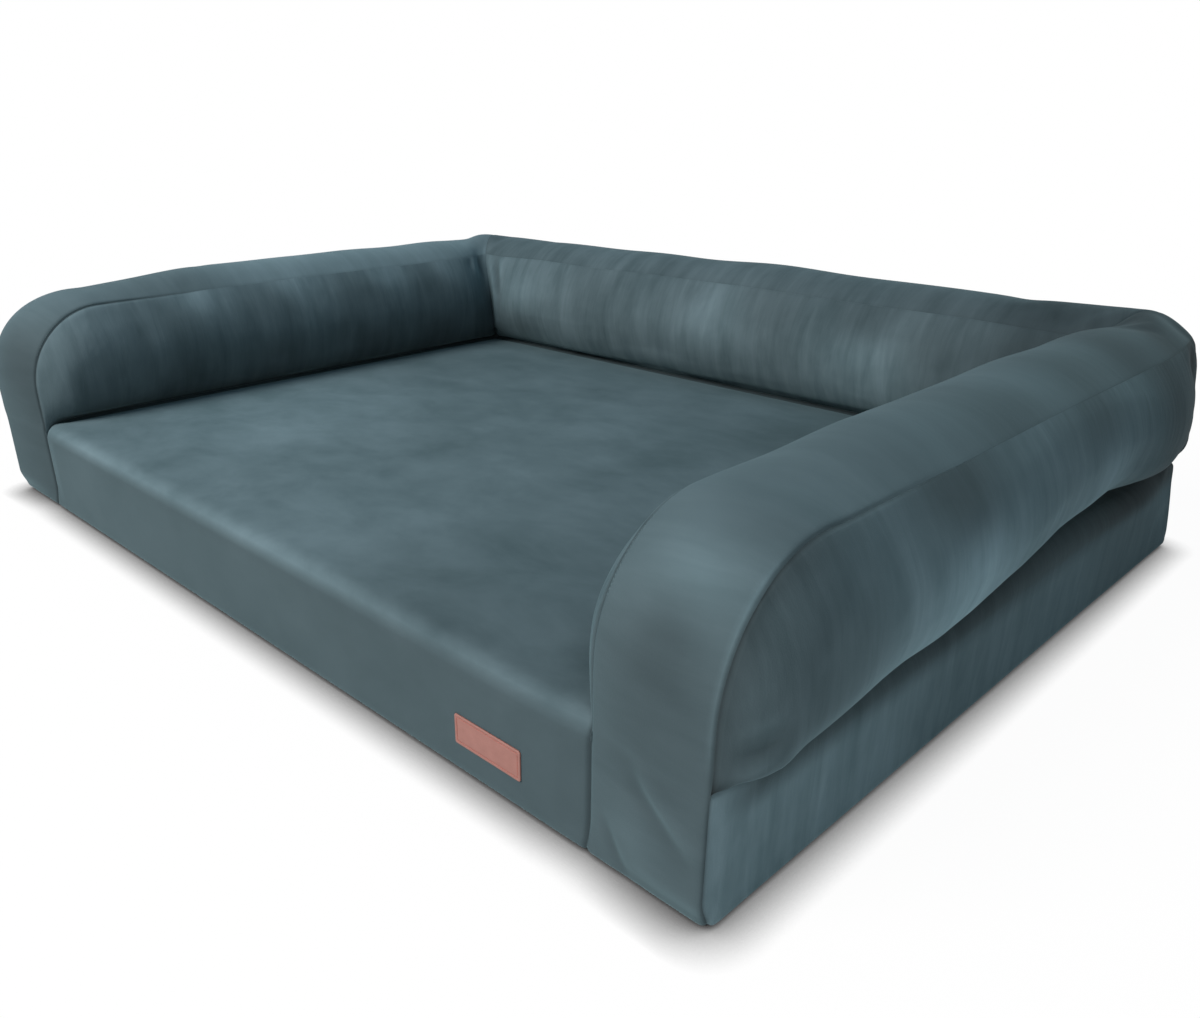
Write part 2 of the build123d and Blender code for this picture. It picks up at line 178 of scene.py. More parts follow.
# Folds in the cloth: panel, the two axes they are drawn on, their line in mm, half width and height in mm
FOLDS = (
    (
        "right_arm_strip", (0, 2),
        ((538, 114), (545, 101), (552, 92), (566, 81), (581, 70), (596, 56)), 7.5, 1.8,
    ),
    ("right_arm_strip", (0, 2), ((528, 100), (543, 84), (560, 70), (576, 58), (592, 42)), 9.0, -1.6),
    ("right_arm_strip", (0, 2), ((504, 48), (514, 30), (522, 17), (534, 2)), 6.5, -1.8),
    ("right_arm_strip", (0, 2), ((520, 70), (540, 46), (562, 20)), 16.0, 1.6),
    ("right_arm_outer_panel", (1, 2), ((-450, 126), (-438, 131), (-422, 140)), 4.5, 1.8),
    ("right_arm_outer_panel", (1, 2), ((-450, 119), (-434, 120), (-418, 126)), 4.0, -1.8),
    ("right_arm_outer_panel", (1, 2), ((-451, 140), (-438, 146), (-424, 154)), 4.5, -1.6),
    ("right_arm_outer_panel", (1, 2), ((-451, 155), (-438, 162), (-422, 170)), 5.0, 1.4),
    (
        "back_inner_panel", (0, 2),
        ((-497, 252), (-486, 235), (-475, 219), (-461, 189), (-457, 150), (-462, 128)), 5.0, 3.2,
    ),
    (
        "back_inner_panel", (0, 2),
        ((-484, 252), (-474, 235), (-462, 217), (-449, 189), (-446, 158)), 5.5, -3.0,
    ),
    ("back_inner_panel", (0, 2), ((-470, 254), (-460, 236), (-452, 214)), 6.0, 1.8),
    ("left_arm_inner_panel", (1, 2), ((322, 252), (314, 236), (308, 212)), 6.0, -2.4),
    ("left_arm_inner_panel", (1, 2), ((304, 256), (294, 238), (288, 214)), 7.0, 1.8),
    ("left_arm_inner_panel", (1, 2), ((290, 254), (280, 236)), 6.0, -1.5),
    ("right_arm_outer_panel", (1, 2), ((380, 250), (352, 240), (326, 224)), 9.0, -2.6),
    ("right_arm_outer_panel", (1, 2), ((398, 244), (384, 216), (374, 184)), 11.0, 2.2),
    ("right_arm_outer_panel", (1, 2), ((326, 122), (350, 142), (364, 170)), 9.0, -2.2),
)

# Painted light and shade on each panel's pile at places in mm, where 1 is the velour's own tone
PAINTED_LIGHT_PLACES = {
    "mattress_panel": (
        ((-400, -430, 118), 1.15), ((0, -430, 118), 1.15), ((400, -430, 118), 0.78),
        ((-330, -250, 118), 1.32), ((0, 0, 118), 0.98), ((330, -250, 118), 0.92), ((0, 280, 118), 0.74),
        ((380, 250, 118), 0.54), ((-400, 200, 118), 0.8),
    ),
    "right_arm_strip": (
        ((549, -455, 30), 0.68), ((550, -457, 120), 0.54), ((551, -457, 175), 0.5),
        ((554, -455, 205), 0.5), ((556, -448, 226), 0.85), ((558, -442, 246), 1.8),
        ((570, -425, 266), 1.0), ((576, -400, 280), 0.7), ((571, -340, 286), 0.9), ((560, -213, 288), 0.8),
        ((550, -19, 288), 0.79), ((505, 130, 286), 0.7), ((550, 260, 288), 0.42), ((560, 380, 284), 0.28),
        ((590, 400, 268), 0.2), ((592, 300, 270), 0.22), ((592, 200, 272), 0.32), ((592, 80, 273), 0.42),
        ((592, -60, 273), 0.52),
    ),
    "left_arm_strip": (
        ((-545, -455, 40), 0.54), ((-545, -457, 160), 0.5), ((-545, -370, 270), 1.1),
        ((-545, 0, 286), 1.75),
    ),
    "right_arm_outer_panel": (
        ((612, -420, 180), 0.68), ((625, -200, 165), 2.4), ((612, -200, 250), 0.4), ((625, 60, 175), 1.4),
        ((612, 60, 250), 0.42), ((612, 280, 245), 0.26), ((620, 330, 200), 0.18), ((600, 400, 230), 0.12),
    ),
    "left_arm_outer_panel": (((-620, 0, 200), 0.8),),
    "right_arm_inner_panel": (((480, 0, 200), 0.9),),
    "left_arm_inner_panel": (
        ((-480, -380, 256), 1.4), ((-480, -220, 262), 1.75), ((-480, -60, 262), 1.85),
        ((-480, 100, 262), 1.85), ((-480, 240, 258), 1.7), ((-470, -400, 190), 1.2),
        ((-470, -250, 215), 1.15), ((-470, -100, 215), 1.15), ((-470, 60, 210), 1.1),
        ((-470, 200, 205), 1.05), ((-470, -380, 145), 1.0), ((-470, -250, 140), 0.8),
        ((-470, -100, 140), 0.75), ((-470, 60, 140), 0.65), ((-470, 200, 140), 0.55),
        ((-470, 320, 140), 0.5),
    ),
    "back_top_strip": (
        ((-400, 400, 286), 0.92), ((0, 400, 286), 0.76), ((-250, 350, 276), 0.95), ((0, 350, 276), 0.88),
        ((200, 350, 276), 0.8), ((330, 400, 286), 0.66), ((460, 400, 286), 0.4),
    ),
    "back_inner_panel": (
        ((-380, 335, 254), 1.15), ((-220, 335, 254), 0.95), ((-60, 335, 254), 1.0), ((90, 335, 254), 0.82),
        ((240, 335, 254), 0.78), ((-400, 310, 210), 1.45), ((-400, 325, 135), 0.65), ((0, 310, 205), 1.35),
        ((0, 325, 135), 1.05), ((250, 310, 170), 1.75), ((350, 310, 240), 0.8), ((460, 310, 230), 0.5),
    ),
    "back_outer_panel": (((0, 470, 200), 0.85),),
    "right_base_side_panel": (
        ((600, -400, 50), 1.5), ((600, 0, 50), 1.0), ((600, 400, 50), 0.5),
    ),
    "left_base_side_panel": (((-600, 0, 50), 0.9),),
    "rear_lower_panel": (((0, 450, 30), 0.9),),
    "rear_upper_panel": (((0, 450, 80), 0.9),),
}

# Painted shade and painted highlights on the pile, as shares of its lightness, with their widths
PAINTED_LIGHT_BLUR = 0.015
MATTRESS_FRONT_PAINTED_SHADE = 0.63
EDGE_TURN = (7 * MM, 6 * MM)
EDGE_GLOW = 0.28
EDGE_GLOW_WIDTH = 7.5 * MM
FRONT_SHADE = 0.35
FRONT_SHADE_WIDTH = 16 * MM
FOLD_PAINTED_SHADING = 110
SEAM_SHADE = 0.4
CREASE_SHADE = 0.45
CREASE_SHADE_WIDTH = 9 * MM
BULGE_SHADE = 0.65
BULGE_SHADE_WIDTH = 10 * MM
BASE_SHADE = 0.66
BASE_SHADE_START = 0.05
RIM_GLOW = 0.4
RIM_GLOW_WIDTH = 1.8 * MM
RIM_GLOW_INSET = 3 * MM
SMOOTH_STRIPS = 0.45
SMOOTH_FRONT = 0.4
# Sheen of the pile, dimmed where the painted shade is darker than a share of the lightness, down to a least
# share
FULL_SHEEN = 0.35
DULL_BELOW = 0.5
LEAST_SHEEN = 0.15

# How a finished panel is drawn: its evening, its flat corner, its seams, its creases and its folds
EVENING_ROUNDS = 12
FLAT_CORNER = 16 * MM
RELAXING_ROUNDS = 60
SEAM_PLACES = np.array([0.12, 0.28, 0.48, 0.72])
ROLL_LOST = 0.85
CREASE_MIDDLE = 6 * MM
CREASE_HALF = 10 * MM
CREASE_FADE = 8 * MM
FOLD_ENDS = (0.04, 0.96)
FOLD_MARGIN = 5 * MM

# Columns of a finished grid that topstitching follows, counted from a panel's edge
SEAM_COLUMN = 4
ZIP_COLUMN = 6

# Topstitching of an arm's inner seam: the height it starts at, and how far back it runs
STITCH_FOOT = 0.2
STITCH_END = -0.28
COVER_STITCH = {"Pitch": 3.4 * MM, "Length": 2.7 * MM, "Thread": 0.8 * MM}

# Cells that a filling and a foam are rebuilt in, how far they lie inside, and their lumps
FIBRE_FORM = {"voxel": 9 * MM, "inset": 1.5 * MM, "lump": 1 * MM, "size": 60 * MM}
FOAM_FORM = {"voxel": 9 * MM, "inset": 5 * MM, "lump": 0.8 * MM, "size": 90 * MM}

# Hidden cloths, grip dots and zip
LINING_CELL = 8 * MM
LINING_TUCK = 7 * MM
LINING_ROWS = 80
BACK_LINING_ROWS = 120
LINING_RISE = 0.3 * MM
LINING_WAVE = 0.05
LINING_THICKNESS = 0.4 * MM
UNDERSIDE_TUCK = EDGE_ROUND - 1 * MM
UNDERSIDE_CELL = 12 * MM
TAPE_CELL_LENGTH = 8 * MM
TAPE_CELL_WIDTH = 2 * MM
COIL_END = 0.7 * MM
TOOTH = {"Pitch": 1.4 * MM, "Wire": 1.2 * MM}
DOT_PITCH = 15 * MM
DOT_HEIGHT = 1 * MM
DOT_RADIUS = 2 * MM

# Label: its rings from the back edge to the middle, each an inset and a depth below its face in mm
LABEL_CORNER = 2 * MM
LABEL_LEAST_CORNER = 0.2 * MM
LABEL_CORNER_STEPS = 6
LABEL_RINGS = (
    (0, 0.4), (0.15, 0.15), (0.5, 0), (2.0, 0), (2.4, 0.25), (3.0, 0.3), (3.4, 0.1), (4.2, 0),
)
LABEL_SEAM = (2.7 * MM, 0.1 * MM)
LABEL_STITCH = {"Pitch": 2.6 * MM, "Length": 2.0 * MM, "Thread": 0.55 * MM}

# Studio: its floor in metres, its lamps (name, place, size, watts and tint), and the camera fitted to the
# photograph, with its angles in degrees
FLOOR_SIZE = 30
LAMPS = (
    ("key", (-1.2, -4.1, 3.7), 2.4, 380, (1.0, 0.91, 0.87)),
    ("fill", (1.4, -1.2, 0.25), 0.4, 6, (1.0, 0.97, 0.95)),
)
CAMERA_LENS = 30.14
CAMERA_SHIFT = (0.0374, 0.0489)
CAMERA_PLACE = (0.8796, -0.8612, 0.4819)
CAMERA_DOWN = 24.45
CAMERA_HEADING = 45.47
CAMERA_ROLL = -0.24

# Finished points of each cover panel, kept for the stitching that follows its seams
FINISHED_GRIDS = {}


class BedSizes(bpy.types.PropertyGroup):
    """Sizes of the cover and its fittings"""

    arm_radius: FloatProperty(
        name="Arm radius", description="Radius of the seam at an arm's front top corner",
        default=100 * MM, unit="LENGTH",
    )
    front_bow: FloatProperty(
        name="Front bow", description="How far the stuffing pushes an arm's front seams forward",
        default=8 * MM, unit="LENGTH",
    )
    front_crown: FloatProperty(
        name="Front crown", description="How far an arm's strip swells between its seams at the front",
        default=3 * MM, unit="LENGTH",
    )
    shoulder: FloatProperty(
        name="Shoulder", description="Radius at which the base side turns in to the crease",
        default=22 * MM, unit="LENGTH",
    )
    cloth: FloatProperty(
        name="Cloth thickness", description="Thickness of the velour with its backing",
        default=1.2 * MM, unit="LENGTH",
    )
    seam_depth: FloatProperty(
        name="Seam depth", description="How deep a seam pulls the pile in",
        default=1.8 * MM, unit="LENGTH",
    )
    crease_depth: FloatProperty(
        name="Crease depth",
        description="How much deeper the pile goes in where a bolster meets the mattress",
        default=5 * MM, unit="LENGTH",
    )
    crease_width: FloatProperty(
        name="Crease width", description="Distance over which the cloth turns down in to a crease",
        default=7 * MM, unit="LENGTH",
    )
    seam_width: FloatProperty(
        name="Seam width", description="Distance over which the pile rolls in to a seam",
        default=2.4 * MM, unit="LENGTH",
    )


class BedColours(bpy.types.PropertyGroup):
    """Colours of the cover and its fittings, as sRGB hex values"""

    velour: StringProperty(name="Velour", description="Colour of the velour's pile", default="52646a")
    velour_shade: StringProperty(
        name="Velour shade", description="Colour of the pile where it is brushed towards the eye",
        default="3b4c51",
    )
    label: StringProperty(name="Label", description="Colour of the label's faux leather", default="91675f")
    label_shade: StringProperty(
        name="Label shade", description="Darker mottling of the label's faux leather", default="7e5850",
    )


def linear(hex_colour, alpha=1.0):
    """Linear RGBA of an sRGB hex colour."""
    parts = [int(hex_colour[at : at + 2], 16) / 255 for at in (0, 2, 4)]
    return tuple(c / 12.92 if c <= 0.04045 else ((c + 0.055) / 1.055) ** 2.4 for c in parts) + (alpha,)


def add_node(tree, kind, links=(), **settings):
    """Node of a tree with its settings, its inputs by name or number, and links into them."""
    made = tree.nodes.new(kind)
    for key, value in settings.items():
        if key != "inputs":
            setattr(made, key, value)
    for key, value in settings.get("inputs", {}).items():
        made.inputs[key].default_value = value
    for key, source in dict(links).items():
        tree.links.new(source, made.inputs[key])
    return made


def new_material(name):
    """Empty node material, its tree and its output."""
    material = bpy.data.materials.new(name)
    material.use_nodes = True
    tree = material.node_tree
    tree.nodes.clear()
    return material, tree, add_node(tree, "ShaderNodeOutputMaterial")


def object_place(tree):
    """Each point's place on its object."""
    return add_node(tree, "ShaderNodeTexCoord").outputs["Object"]


def noise(tree, place, scale, detail, roughness=0.5):
    """Cloudy noise of a scale, from 0 to 1."""
    inputs = {"Scale": scale, "Detail": detail, "Roughness": roughness}
    return add_node(tree, "ShaderNodeTexNoise", {"Vector": place}, inputs=inputs).outputs["Fac"]


def combined(tree, operation, first, second):
    """Two outputs, or an output and a number, put through a math operation."""
    made = add_node(tree, "ShaderNodeMath", {0: first}, operation=operation)
    if isinstance(second, float):
        made.inputs[1].default_value = second
    else:
        tree.links.new(second, made.inputs[1])
    return made.outputs[0]


def bumped(tree, height, strength, distance, **links):
    """Normal of a fine relief whose height is an output."""
    inputs = {"Strength": strength, "Distance": distance}
    return add_node(tree, "ShaderNodeBump", {"Height": height, **links}, inputs=inputs).outputs["Normal"]


@functools.lru_cache(maxsize=None)
def velour(streaked):
    """Sheared polyester velour: soft sheen at the edges, streaked where its short pile was brushed."""
    colours = bpy.context.scene.bed_colours
    finish = "_streaked" if streaked else "_clouded"
    material, tree, output = new_material("sheared_polyester_velour" + finish)
    stroke = (7.0, 42.0, 1.0) if streaked else (9.0, 14.0, 1.0)
    flat = add_node(tree, "ShaderNodeUVMap", uv_map="cloth")
    place = object_place(tree)
    brushed = add_node(tree, "ShaderNodeMapping", {"Vector": flat.outputs["UV"]}, inputs={"Scale": stroke})
    streaks = add_node(
        tree, "ShaderNodeTexNoise", {"Vector": brushed.outputs["Vector"]},
        inputs={"Scale": 1.0, "Detail": 5.0, "Roughness": 0.62, "Distortion": 0.35},
    )
    nap = combined(tree, "ADD", streaks.outputs["Fac"], noise(tree, place, 6.5, 4.0, 0.6))
    # Painted light and shade kept on each panel's points, with how plainly its streaks show and its sheen,
    # dimmed in painted shade
    painted_light_and_pile = add_node(tree, "ShaderNodeAttribute", attribute_name="nap")
    painted_light_and_pile = add_node(tree, "ShaderNodeSeparateXYZ", {"Vector": painted_light_and_pile.outputs["Vector"]})
    away = combined(tree, "MULTIPLY", combined(tree, "SUBTRACT", nap, 1.0), painted_light_and_pile.outputs["Y"])
    lean = add_node(
        tree, "ShaderNodeMapRange", {"Value": away}, inputs={"From Min": -0.26, "From Max": 0.26}
    ).outputs["Result"]
    tone = mixed_tone(tree, lean, colours.velour_shade, colours.velour)
    # The painted light and shade scale the pile's colour
    tone = add_node(
        tree, "ShaderNodeVectorMath", {"Vector": tone, "Scale": painted_light_and_pile.outputs["X"]}, operation="SCALE"
    ).outputs["Vector"]
    tips = bumped(tree, noise(tree, place, 900.0, 2.0), 0.3, 0.4 * MM)
    strokes = bumped(tree, lean, 0.35, 1.2 * MM, Normal=tips)
    shader = add_node(
        tree, "ShaderNodeBsdfPrincipled",
        {"Base Color": tone, "Normal": strokes, "Sheen Weight": painted_light_and_pile.outputs["Z"]},
        inputs={
            "Roughness": 0.85, "Specular IOR Level": 0.15,
            "Sheen Roughness": 0.45, "Sheen Tint": linear("86adb6"),
        },
    )
    tree.links.new(shader.outputs["BSDF"], output.inputs["Surface"])
    return material


def put_in_scene(name, data):
    """Object of some data, linked into the scene."""
    made = bpy.data.objects.new(name, data)
    bpy.context.scene.collection.objects.link(made)
    return made


def eased(share):
    """Share from 0 to 1 with a soft start and end."""
    share = np.clip(share, 0, 1)
    return share * share * (3 - 2 * share)


def ramp(value, start, length):
    """Share from 0 to 1 over a length from a start, with a soft start and end."""
    return eased((value - start) / length)


def bell(gap, width):
    """1 where there is no gap, falling softly to nothing over a few widths."""
    return np.exp(-((gap / width) ** 2))


def pinned(shape, rows):
    """How firmly a grid's points are held: fully along its first column and the given rows."""
    held = np.zeros(shape)
    held[:, 0] = 1
    held[rows] = 1
    return held


def stacked(*parts):
    """Points made of their parts, each spread over the grid where it is a line or a number."""
    return np.stack(np.broadcast_arrays(*parts), axis=-1)


@dataclass
class Panel:
    """One cut of cloth: a grid of points, their places on the flat cloth, and how firmly each is held"""

    name: str
    points: np.ndarray
    cloth: np.ndarray
    held: np.ndarray
    outward: tuple


def arm_outline(along, radius):
    """Side view of an arm's seam by length from the crease up: y, z and the outward direction."""
    straight = SEAM_TOP - radius - CREASE
    turn = radius * math.pi / 2
    angle = np.clip((along - straight) / radius, 0, math.pi / 2)
    run = np.maximum(along - straight - turn, 0)
    y = FRONT + radius * (1 - np.cos(angle)) + run
    z = CREASE + np.minimum(along, straight) + radius * np.sin(angle)
    return y, z, -np.cos(angle), np.sin(angle)


def arm_strip():
    """Right arm's strip: up the front from the floor, round, and along the top to the mitre."""
    sizes = bpy.context.scene.bed_sizes
    radius = sizes.arm_radius
    across = np.linspace(0, 1, STRIP_COLUMNS + 1)[None, :]
    straight = SEAM_TOP - radius - CREASE
    half_turn = straight + radius * math.pi / 4
    top_length = radius * math.pi / 4 + (INNER_BACK - FRONT - radius) + (OUTER - INNER) * across
    base = np.linspace(-CREASE, 0, BASE_ROWS + 1)[:-1, None] + 0 * across
    rise = np.linspace(0, half_turn, ARM_FRONT_ROWS + 1)[:-1, None] + 0 * across
    top = half_turn + top_length * np.linspace(0, 1, ARM_TOP_ROWS + 1)[:, None]
    along = np.concatenate([base, rise, top])
    y, z, out_y, out_z = arm_outline(along, radius)
    crown = sizes.front_crown + FACE_SWELL * ramp(along, *FACE_SWELL_RAMP)
    crown = crown + TOP_SWELL * ramp(along, *TOP_SWELL_RAMP)
    off_floor = ramp(along, -CREASE, FLOOR_RAMP)
    lean = (-INNER_LEAN + (sizes.front_bow + INNER_LEAN) * across) * (1 - ramp(along, *BOW_RAMP))
    lean = lean * off_floor
    swell = crown * (1 - (2 * across - 1) ** 2) * off_floor + lean
    x = INNER + (OUTER - INNER) * across
    points = stacked(x, y + out_y * swell, z + out_z * swell)
    cloth = stacked(x, along)
    held = np.where(along < 0, 1.0, 0.0)
    ends = [0, -1]
    held[:, ends] = np.maximum(held[:, ends], 1 - ramp(along[:, ends], *SEAM_HELD_RAMP))
    held[-1] = 1
    return Panel("right_arm_strip", points, cloth, held, (0, -1, 1))


def nearest(points, line):
    """Distance from each point to the closest point of a line of points, and that point's number."""
    gaps = np.linalg.norm(points.reshape(-1, 1, 2) - line[None], axis=-1)
    number = gaps.argmin(axis=1)
    return gaps.min(axis=1).reshape(points.shape[:-1]), number.reshape(points.shape[:-1])


def filled_in(front, rear, bottom, top):
    """Even grid inside four side lines, rows from front to rear and columns from bottom to top."""
    a = np.linspace(0, 1, len(bottom))[:, None, None]
    b = np.linspace(0, 1, len(front))[None, :, None]
    grid = (1 - b) * bottom[:, None] + b * top[:, None] + (1 - a) * front[None] + a * rear[None]
    grid = grid - (1 - a) * (1 - b) * bottom[0] - a * (1 - b) * bottom[-1]
    grid = grid - (1 - a) * b * top[0] - a * b * top[-1]
    for _ in range(FILLING_ROUNDS):
        grid[1:-1, 1:-1] = (grid[:-2, 1:-1] + grid[2:, 1:-1] + grid[1:-1, :-2] + grid[1:-1, 2:]) / 4
    return grid


def fullness(distance, length, power=2.0):
    """How far a stuffed panel has swollen at a distance from its edge, as a share."""
    return 1 - (1 - np.clip(distance / length, 0, 1)) ** power


def seam_swell(grid, seam):
    """How far a panel has swollen at each point by its distance from a seam, more slowly at the top."""
    from_seam, number = nearest(grid, seam)
    return fullness(from_seam, SEAM_REACH + TOP_REACH * ramp(number / len(seam), *TOP_REACH_RAMP))


def outer_crease(y):
    """Line where an arm's outer panel meets the base: inset and height, drawn in towards the back."""
    pull = ramp(y, FRONT, PULL_FROM_FRONT) * eased((REAR - y) / PULL_FROM_REAR)
    inset = np.interp(y, CREASE_PLACES, CREASE_INSETS)
    lifted = ramp(y, *LIFT_RAMP) * eased((LIFT_END - y) / LIFT_FALL)
    return -inset * pull, CREASE + CREASE_LIFT * lifted * pull


def arm_outer_panel(strip):
    """Right arm's outer panel, swollen out past the seam."""
    seam = strip.points[BASE_ROWS:, -1, 1:]
    y = np.linspace(seam[0, 0], REAR, ARM_TOP_ROWS + 1)
    inset, height = outer_crease(y)
    bottom = stacked(y, height)
    bottom[0] = seam[0]
    rear_z = np.linspace(bottom[-1, 1], seam[-1, 1], ARM_FRONT_ROWS + 1)
    rear = stacked(REAR, rear_z)
    grid = filled_in(seam[: ARM_FRONT_ROWS + 1], rear, bottom, seam[ARM_FRONT_ROWS:])
    from_bottom, _ = nearest(grid, bottom)
    swell = seam_swell(grid, seam) * fullness(REAR - grid[..., 0], CORNER_REACH)
    rise = np.interp(grid[..., 0], BULGE_PLACES, BULGE_RISES)
    swell = swell * fullness(from_bottom, rise, BULGE_POWER)
    x = OUTER + inset[:, None] * (1 - fullness(from_bottom, SEAM_REACH)) + REACH * swell
    points = np.concatenate([x[..., None], grid], axis=-1)
    points[:, -1, 0] = OUTER
    points[0, :, 0] = OUTER
    cloth = grid[..., ::-1].copy()
    return Panel("right_arm_outer_panel", points, cloth, pinned(x.shape, [-1]), (1, 0, 0))


def mattress_edge(count):
    """Side view of the mattress panel's front edge where it turns from the front to the top."""
    radius = CREASE * (1 - EDGE_ROWS / BASE_ROWS)
    angle = np.linspace(0, math.pi / 2, count + 1)
    return stacked(FRONT + radius * (1 - np.cos(angle)), CREASE - radius * (1 - np.sin(angle)))


def arm_inner_panel(strip):
    """Right arm's inner panel, swollen in over the mattress and run to the mitre."""
    seam = strip.points[EDGE_ROWS:, 0, 1:]
    turn = mattress_edge(EDGE_TURN_ROWS)
    count = ARM_TOP_ROWS - EDGE_TURN_ROWS
    y = np.linspace(turn[-1, 0], INNER_BACK, count + 1)[1:]
    bottom = np.concatenate([turn, stacked(y, CREASE)])
    bottom[: EDGE_TURN_ROWS + 1, 0] += (seam[0, 0] - FRONT) * np.linspace(1, 0, EDGE_TURN_ROWS + 1)
    columns = BASE_ROWS - EDGE_ROWS + ARM_FRONT_ROWS
    rear_z = np.linspace(CREASE, seam[-1, 1], columns + 1)
    rear = stacked(INNER_BACK, rear_z)
    grid = filled_in(seam[: columns + 1], rear, bottom, seam[columns:])
    from_bottom, _ = nearest(grid, bottom)
    swell = REACH * seam_swell(grid, seam) * fullness(from_bottom, FOOT_REACH, FOOT_POWER)
    cloth = grid[..., ::-1].copy()
    to_mitre = ramp(grid[..., 0] - INNER_BACK, -MITRE_RAMP, MITRE_RAMP)
    grid[..., 0] = grid[..., 0] - swell * to_mitre
    points = np.concatenate([(INNER - swell)[..., None], grid], axis=-1)
    return Panel("right_arm_inner_panel", points, cloth, pinned(swell.shape, [-1]), (-1, 0, 0))


def spanned(end):
    """Points that carry an arm panel's last row across the back."""
    share = np.linspace(-1, 1, BACK_ROWS + 1)[:, None]
    return stacked(end[None, :, 0] * share, end[None, :, 1], end[None, :, 2])


def back_strip(arm):
    """Back's top strip, mitred into the arms' strips at both ends."""
    points = spanned(arm.points[-1])
    held = np.zeros(points.shape[:2])
    held[[0, -1]] = 1
    return Panel("back_top_strip", points, points[..., [1, 0]], held, (0, 0, 1))


def back_inner_panel(arm_inner):
    """Back's inner panel, swollen forward over the mattress between the mitres."""
    points = spanned(arm_inner.points[-1])
    held = pinned(points.shape[:2], [0, -1])
    return Panel("back_inner_panel", points, points[..., [2, 0]], held, (0, -1, 0))


def back_outer_panel(arm_outer):
    """Back's outer panel, swollen out behind the bed and drawn in at both corners."""
    z = arm_outer.points[-1, :, 2][None, :]
    x = np.linspace(-OUTER, OUTER, BACK_ROWS + 1)[:, None]
    swell = fullness(OUTER - np.abs(x), CORNER_REACH) * fullness(SEAM_TOP - z, SEAM_REACH + TOP_REACH)
    swell = swell * fullness(z - CREASE, FOOT_REACH, FOOT_POWER)
    points = stacked(x, REAR + REACH * swell, z)
    held = pinned(swell.shape, [0, -1])
    return Panel("back_outer_panel", points, stacked(z, x), held, (0, 1, 0))


def wall_profile(share, height, depth, shoulder):
    """Wall up from the floor, round a shoulder and in to a crease at a depth: inset and height by share."""
    radius = np.minimum(depth, shoulder)
    rise = radius + LEDGE_SLOPE * (depth - radius)
    straight = height - rise
    turn = radius * math.pi / 2
    ledge = np.hypot(depth - radius, rise - radius)
    along = share * (straight + turn + ledge)
    angle = np.clip((along - straight) / np.maximum(radius, 1e-9), 0, math.pi / 2)
    last = np.clip((along - straight - turn) / np.maximum(ledge, 1e-9), 0, 1)
    inset = radius * (1 - np.cos(angle)) + (depth - radius) * last
    return inset, np.minimum(along, straight) + radius * np.sin(angle) + (rise - radius) * last


def base_side_panel(strip, arm_outer):
    """Right base side panel, from the floor to the crease."""
    sizes = bpy.context.scene.bed_sizes
    y = arm_outer.points[:, 0, 1][:, None]
    top_x = arm_outer.points[:, 0, 0][:, None]
    top_z = arm_outer.points[:, 0, 2][:, None]
    share = np.linspace(0, 1, BASE_ROWS + 1)[None, :]
    depth = np.maximum(OUTER - top_x, 0)
    inset, z = wall_profile(share, top_z, depth, sizes.shoulder)
    front = strip.points[: BASE_ROWS + 1, -1, 1][None, :]
    y = y + (front - y[:1]) * (1 - ramp(y, FRONT, BASE_FRONT_RAMP))
    points = stacked(OUTER - inset, y, z)
    held = np.ones(points.shape[:2])
    return Panel("right_base_side_panel", points, points[..., [2, 1]], held, (1, 0, 0))


def mattress_panel(strip):
    """Lying surface and front of the mattress in one cloth, between the arms."""
    turn = mattress_edge(EDGE_TURN_ROWS)
    front = np.linspace(0, turn[0, 1], EDGE_ROWS + 1)[:-1]
    front = stacked(FRONT, front)
    y = np.linspace(turn[-1, 0], INNER_BACK, MATTRESS_ROWS + 1)[1:]
    top = stacked(y, CREASE)
    line = np.concatenate([front, turn, top])
    steps = np.linalg.norm(np.diff(line, axis=0), axis=1)
    along = np.concatenate([[0], np.cumsum(steps)])[:, None]
    share = np.linspace(-1, 1, MATTRESS_COLUMNS + 1)[None, :]
    x = INNER * share + 0 * along
    y = line[:, :1] + 0 * x
    z = line[:, 1:] + 0 * x
    over = ramp(y, FRONT, CROWN_FROM_FRONT) * eased((INNER_BACK - y) / CROWN_FROM_BACK) * (1 - share**4)
    z = z + (MATTRESS_TOP - CREASE) * over * (z > turn[0, 1])
    lean = strip.points[: EDGE_ROWS + 1, 0, 1] - FRONT
    lean = np.concatenate([lean, lean[-1] * np.linspace(1, 0, EDGE_TURN_ROWS + 1)[1:]])
    near_arm = np.clip((np.abs(share) - 1 + LEAN_SHARE) / LEAN_SHARE, 0, 1)
    y[: len(lean)] += lean[:, None] * near_arm
    held = np.ones(x.shape)
    return Panel("mattress_panel", stacked(x, y, z), stacked(x, along), held, (0, -1, 1))


def rear_panels(back_outer):
    """Rear base panel's two halves, parted along the middle by the zip's window."""
    x = back_outer.points[:, 0, 0][:, None]
    top = back_outer.points[:, 0, 2][:, None]
    share = np.linspace(0, 1, REAR_COLUMNS + 1)[None, :]
    number = np.abs(np.arange(len(x)) - BACK_ROWS // 2)[:, None]
    open_half = np.where(number <= WINDOW_ROWS, ZIP_WINDOW / 2, 0)
    made = []
    for name, low, high in (
        ("rear_lower_panel", 0 * top, ZIP_HEIGHT - open_half),
        ("rear_upper_panel", ZIP_HEIGHT + open_half, top),
    ):
        z = low + (high - low) * share
        points = stacked(x, REAR, z)
        made.append(Panel(name, points, points[..., ::2].copy(), np.ones(z.shape), (0, 1, 0)))
    return made


def mirrored(panel):
    """The left twin of a right panel."""
    points = panel.points * (-1, 1, 1)
    outward = (-panel.outward[0], panel.outward[1], panel.outward[2])
    return Panel(panel.name.replace("right", "left"), points, panel.cloth.copy(), panel.held.copy(), outward)


def quads(index):
    """Faces of a grid of point numbers."""
    return stacked(index[:-1, :-1], index[1:, :-1], index[1:, 1:], index[:-1, 1:]).reshape(-1, 4)


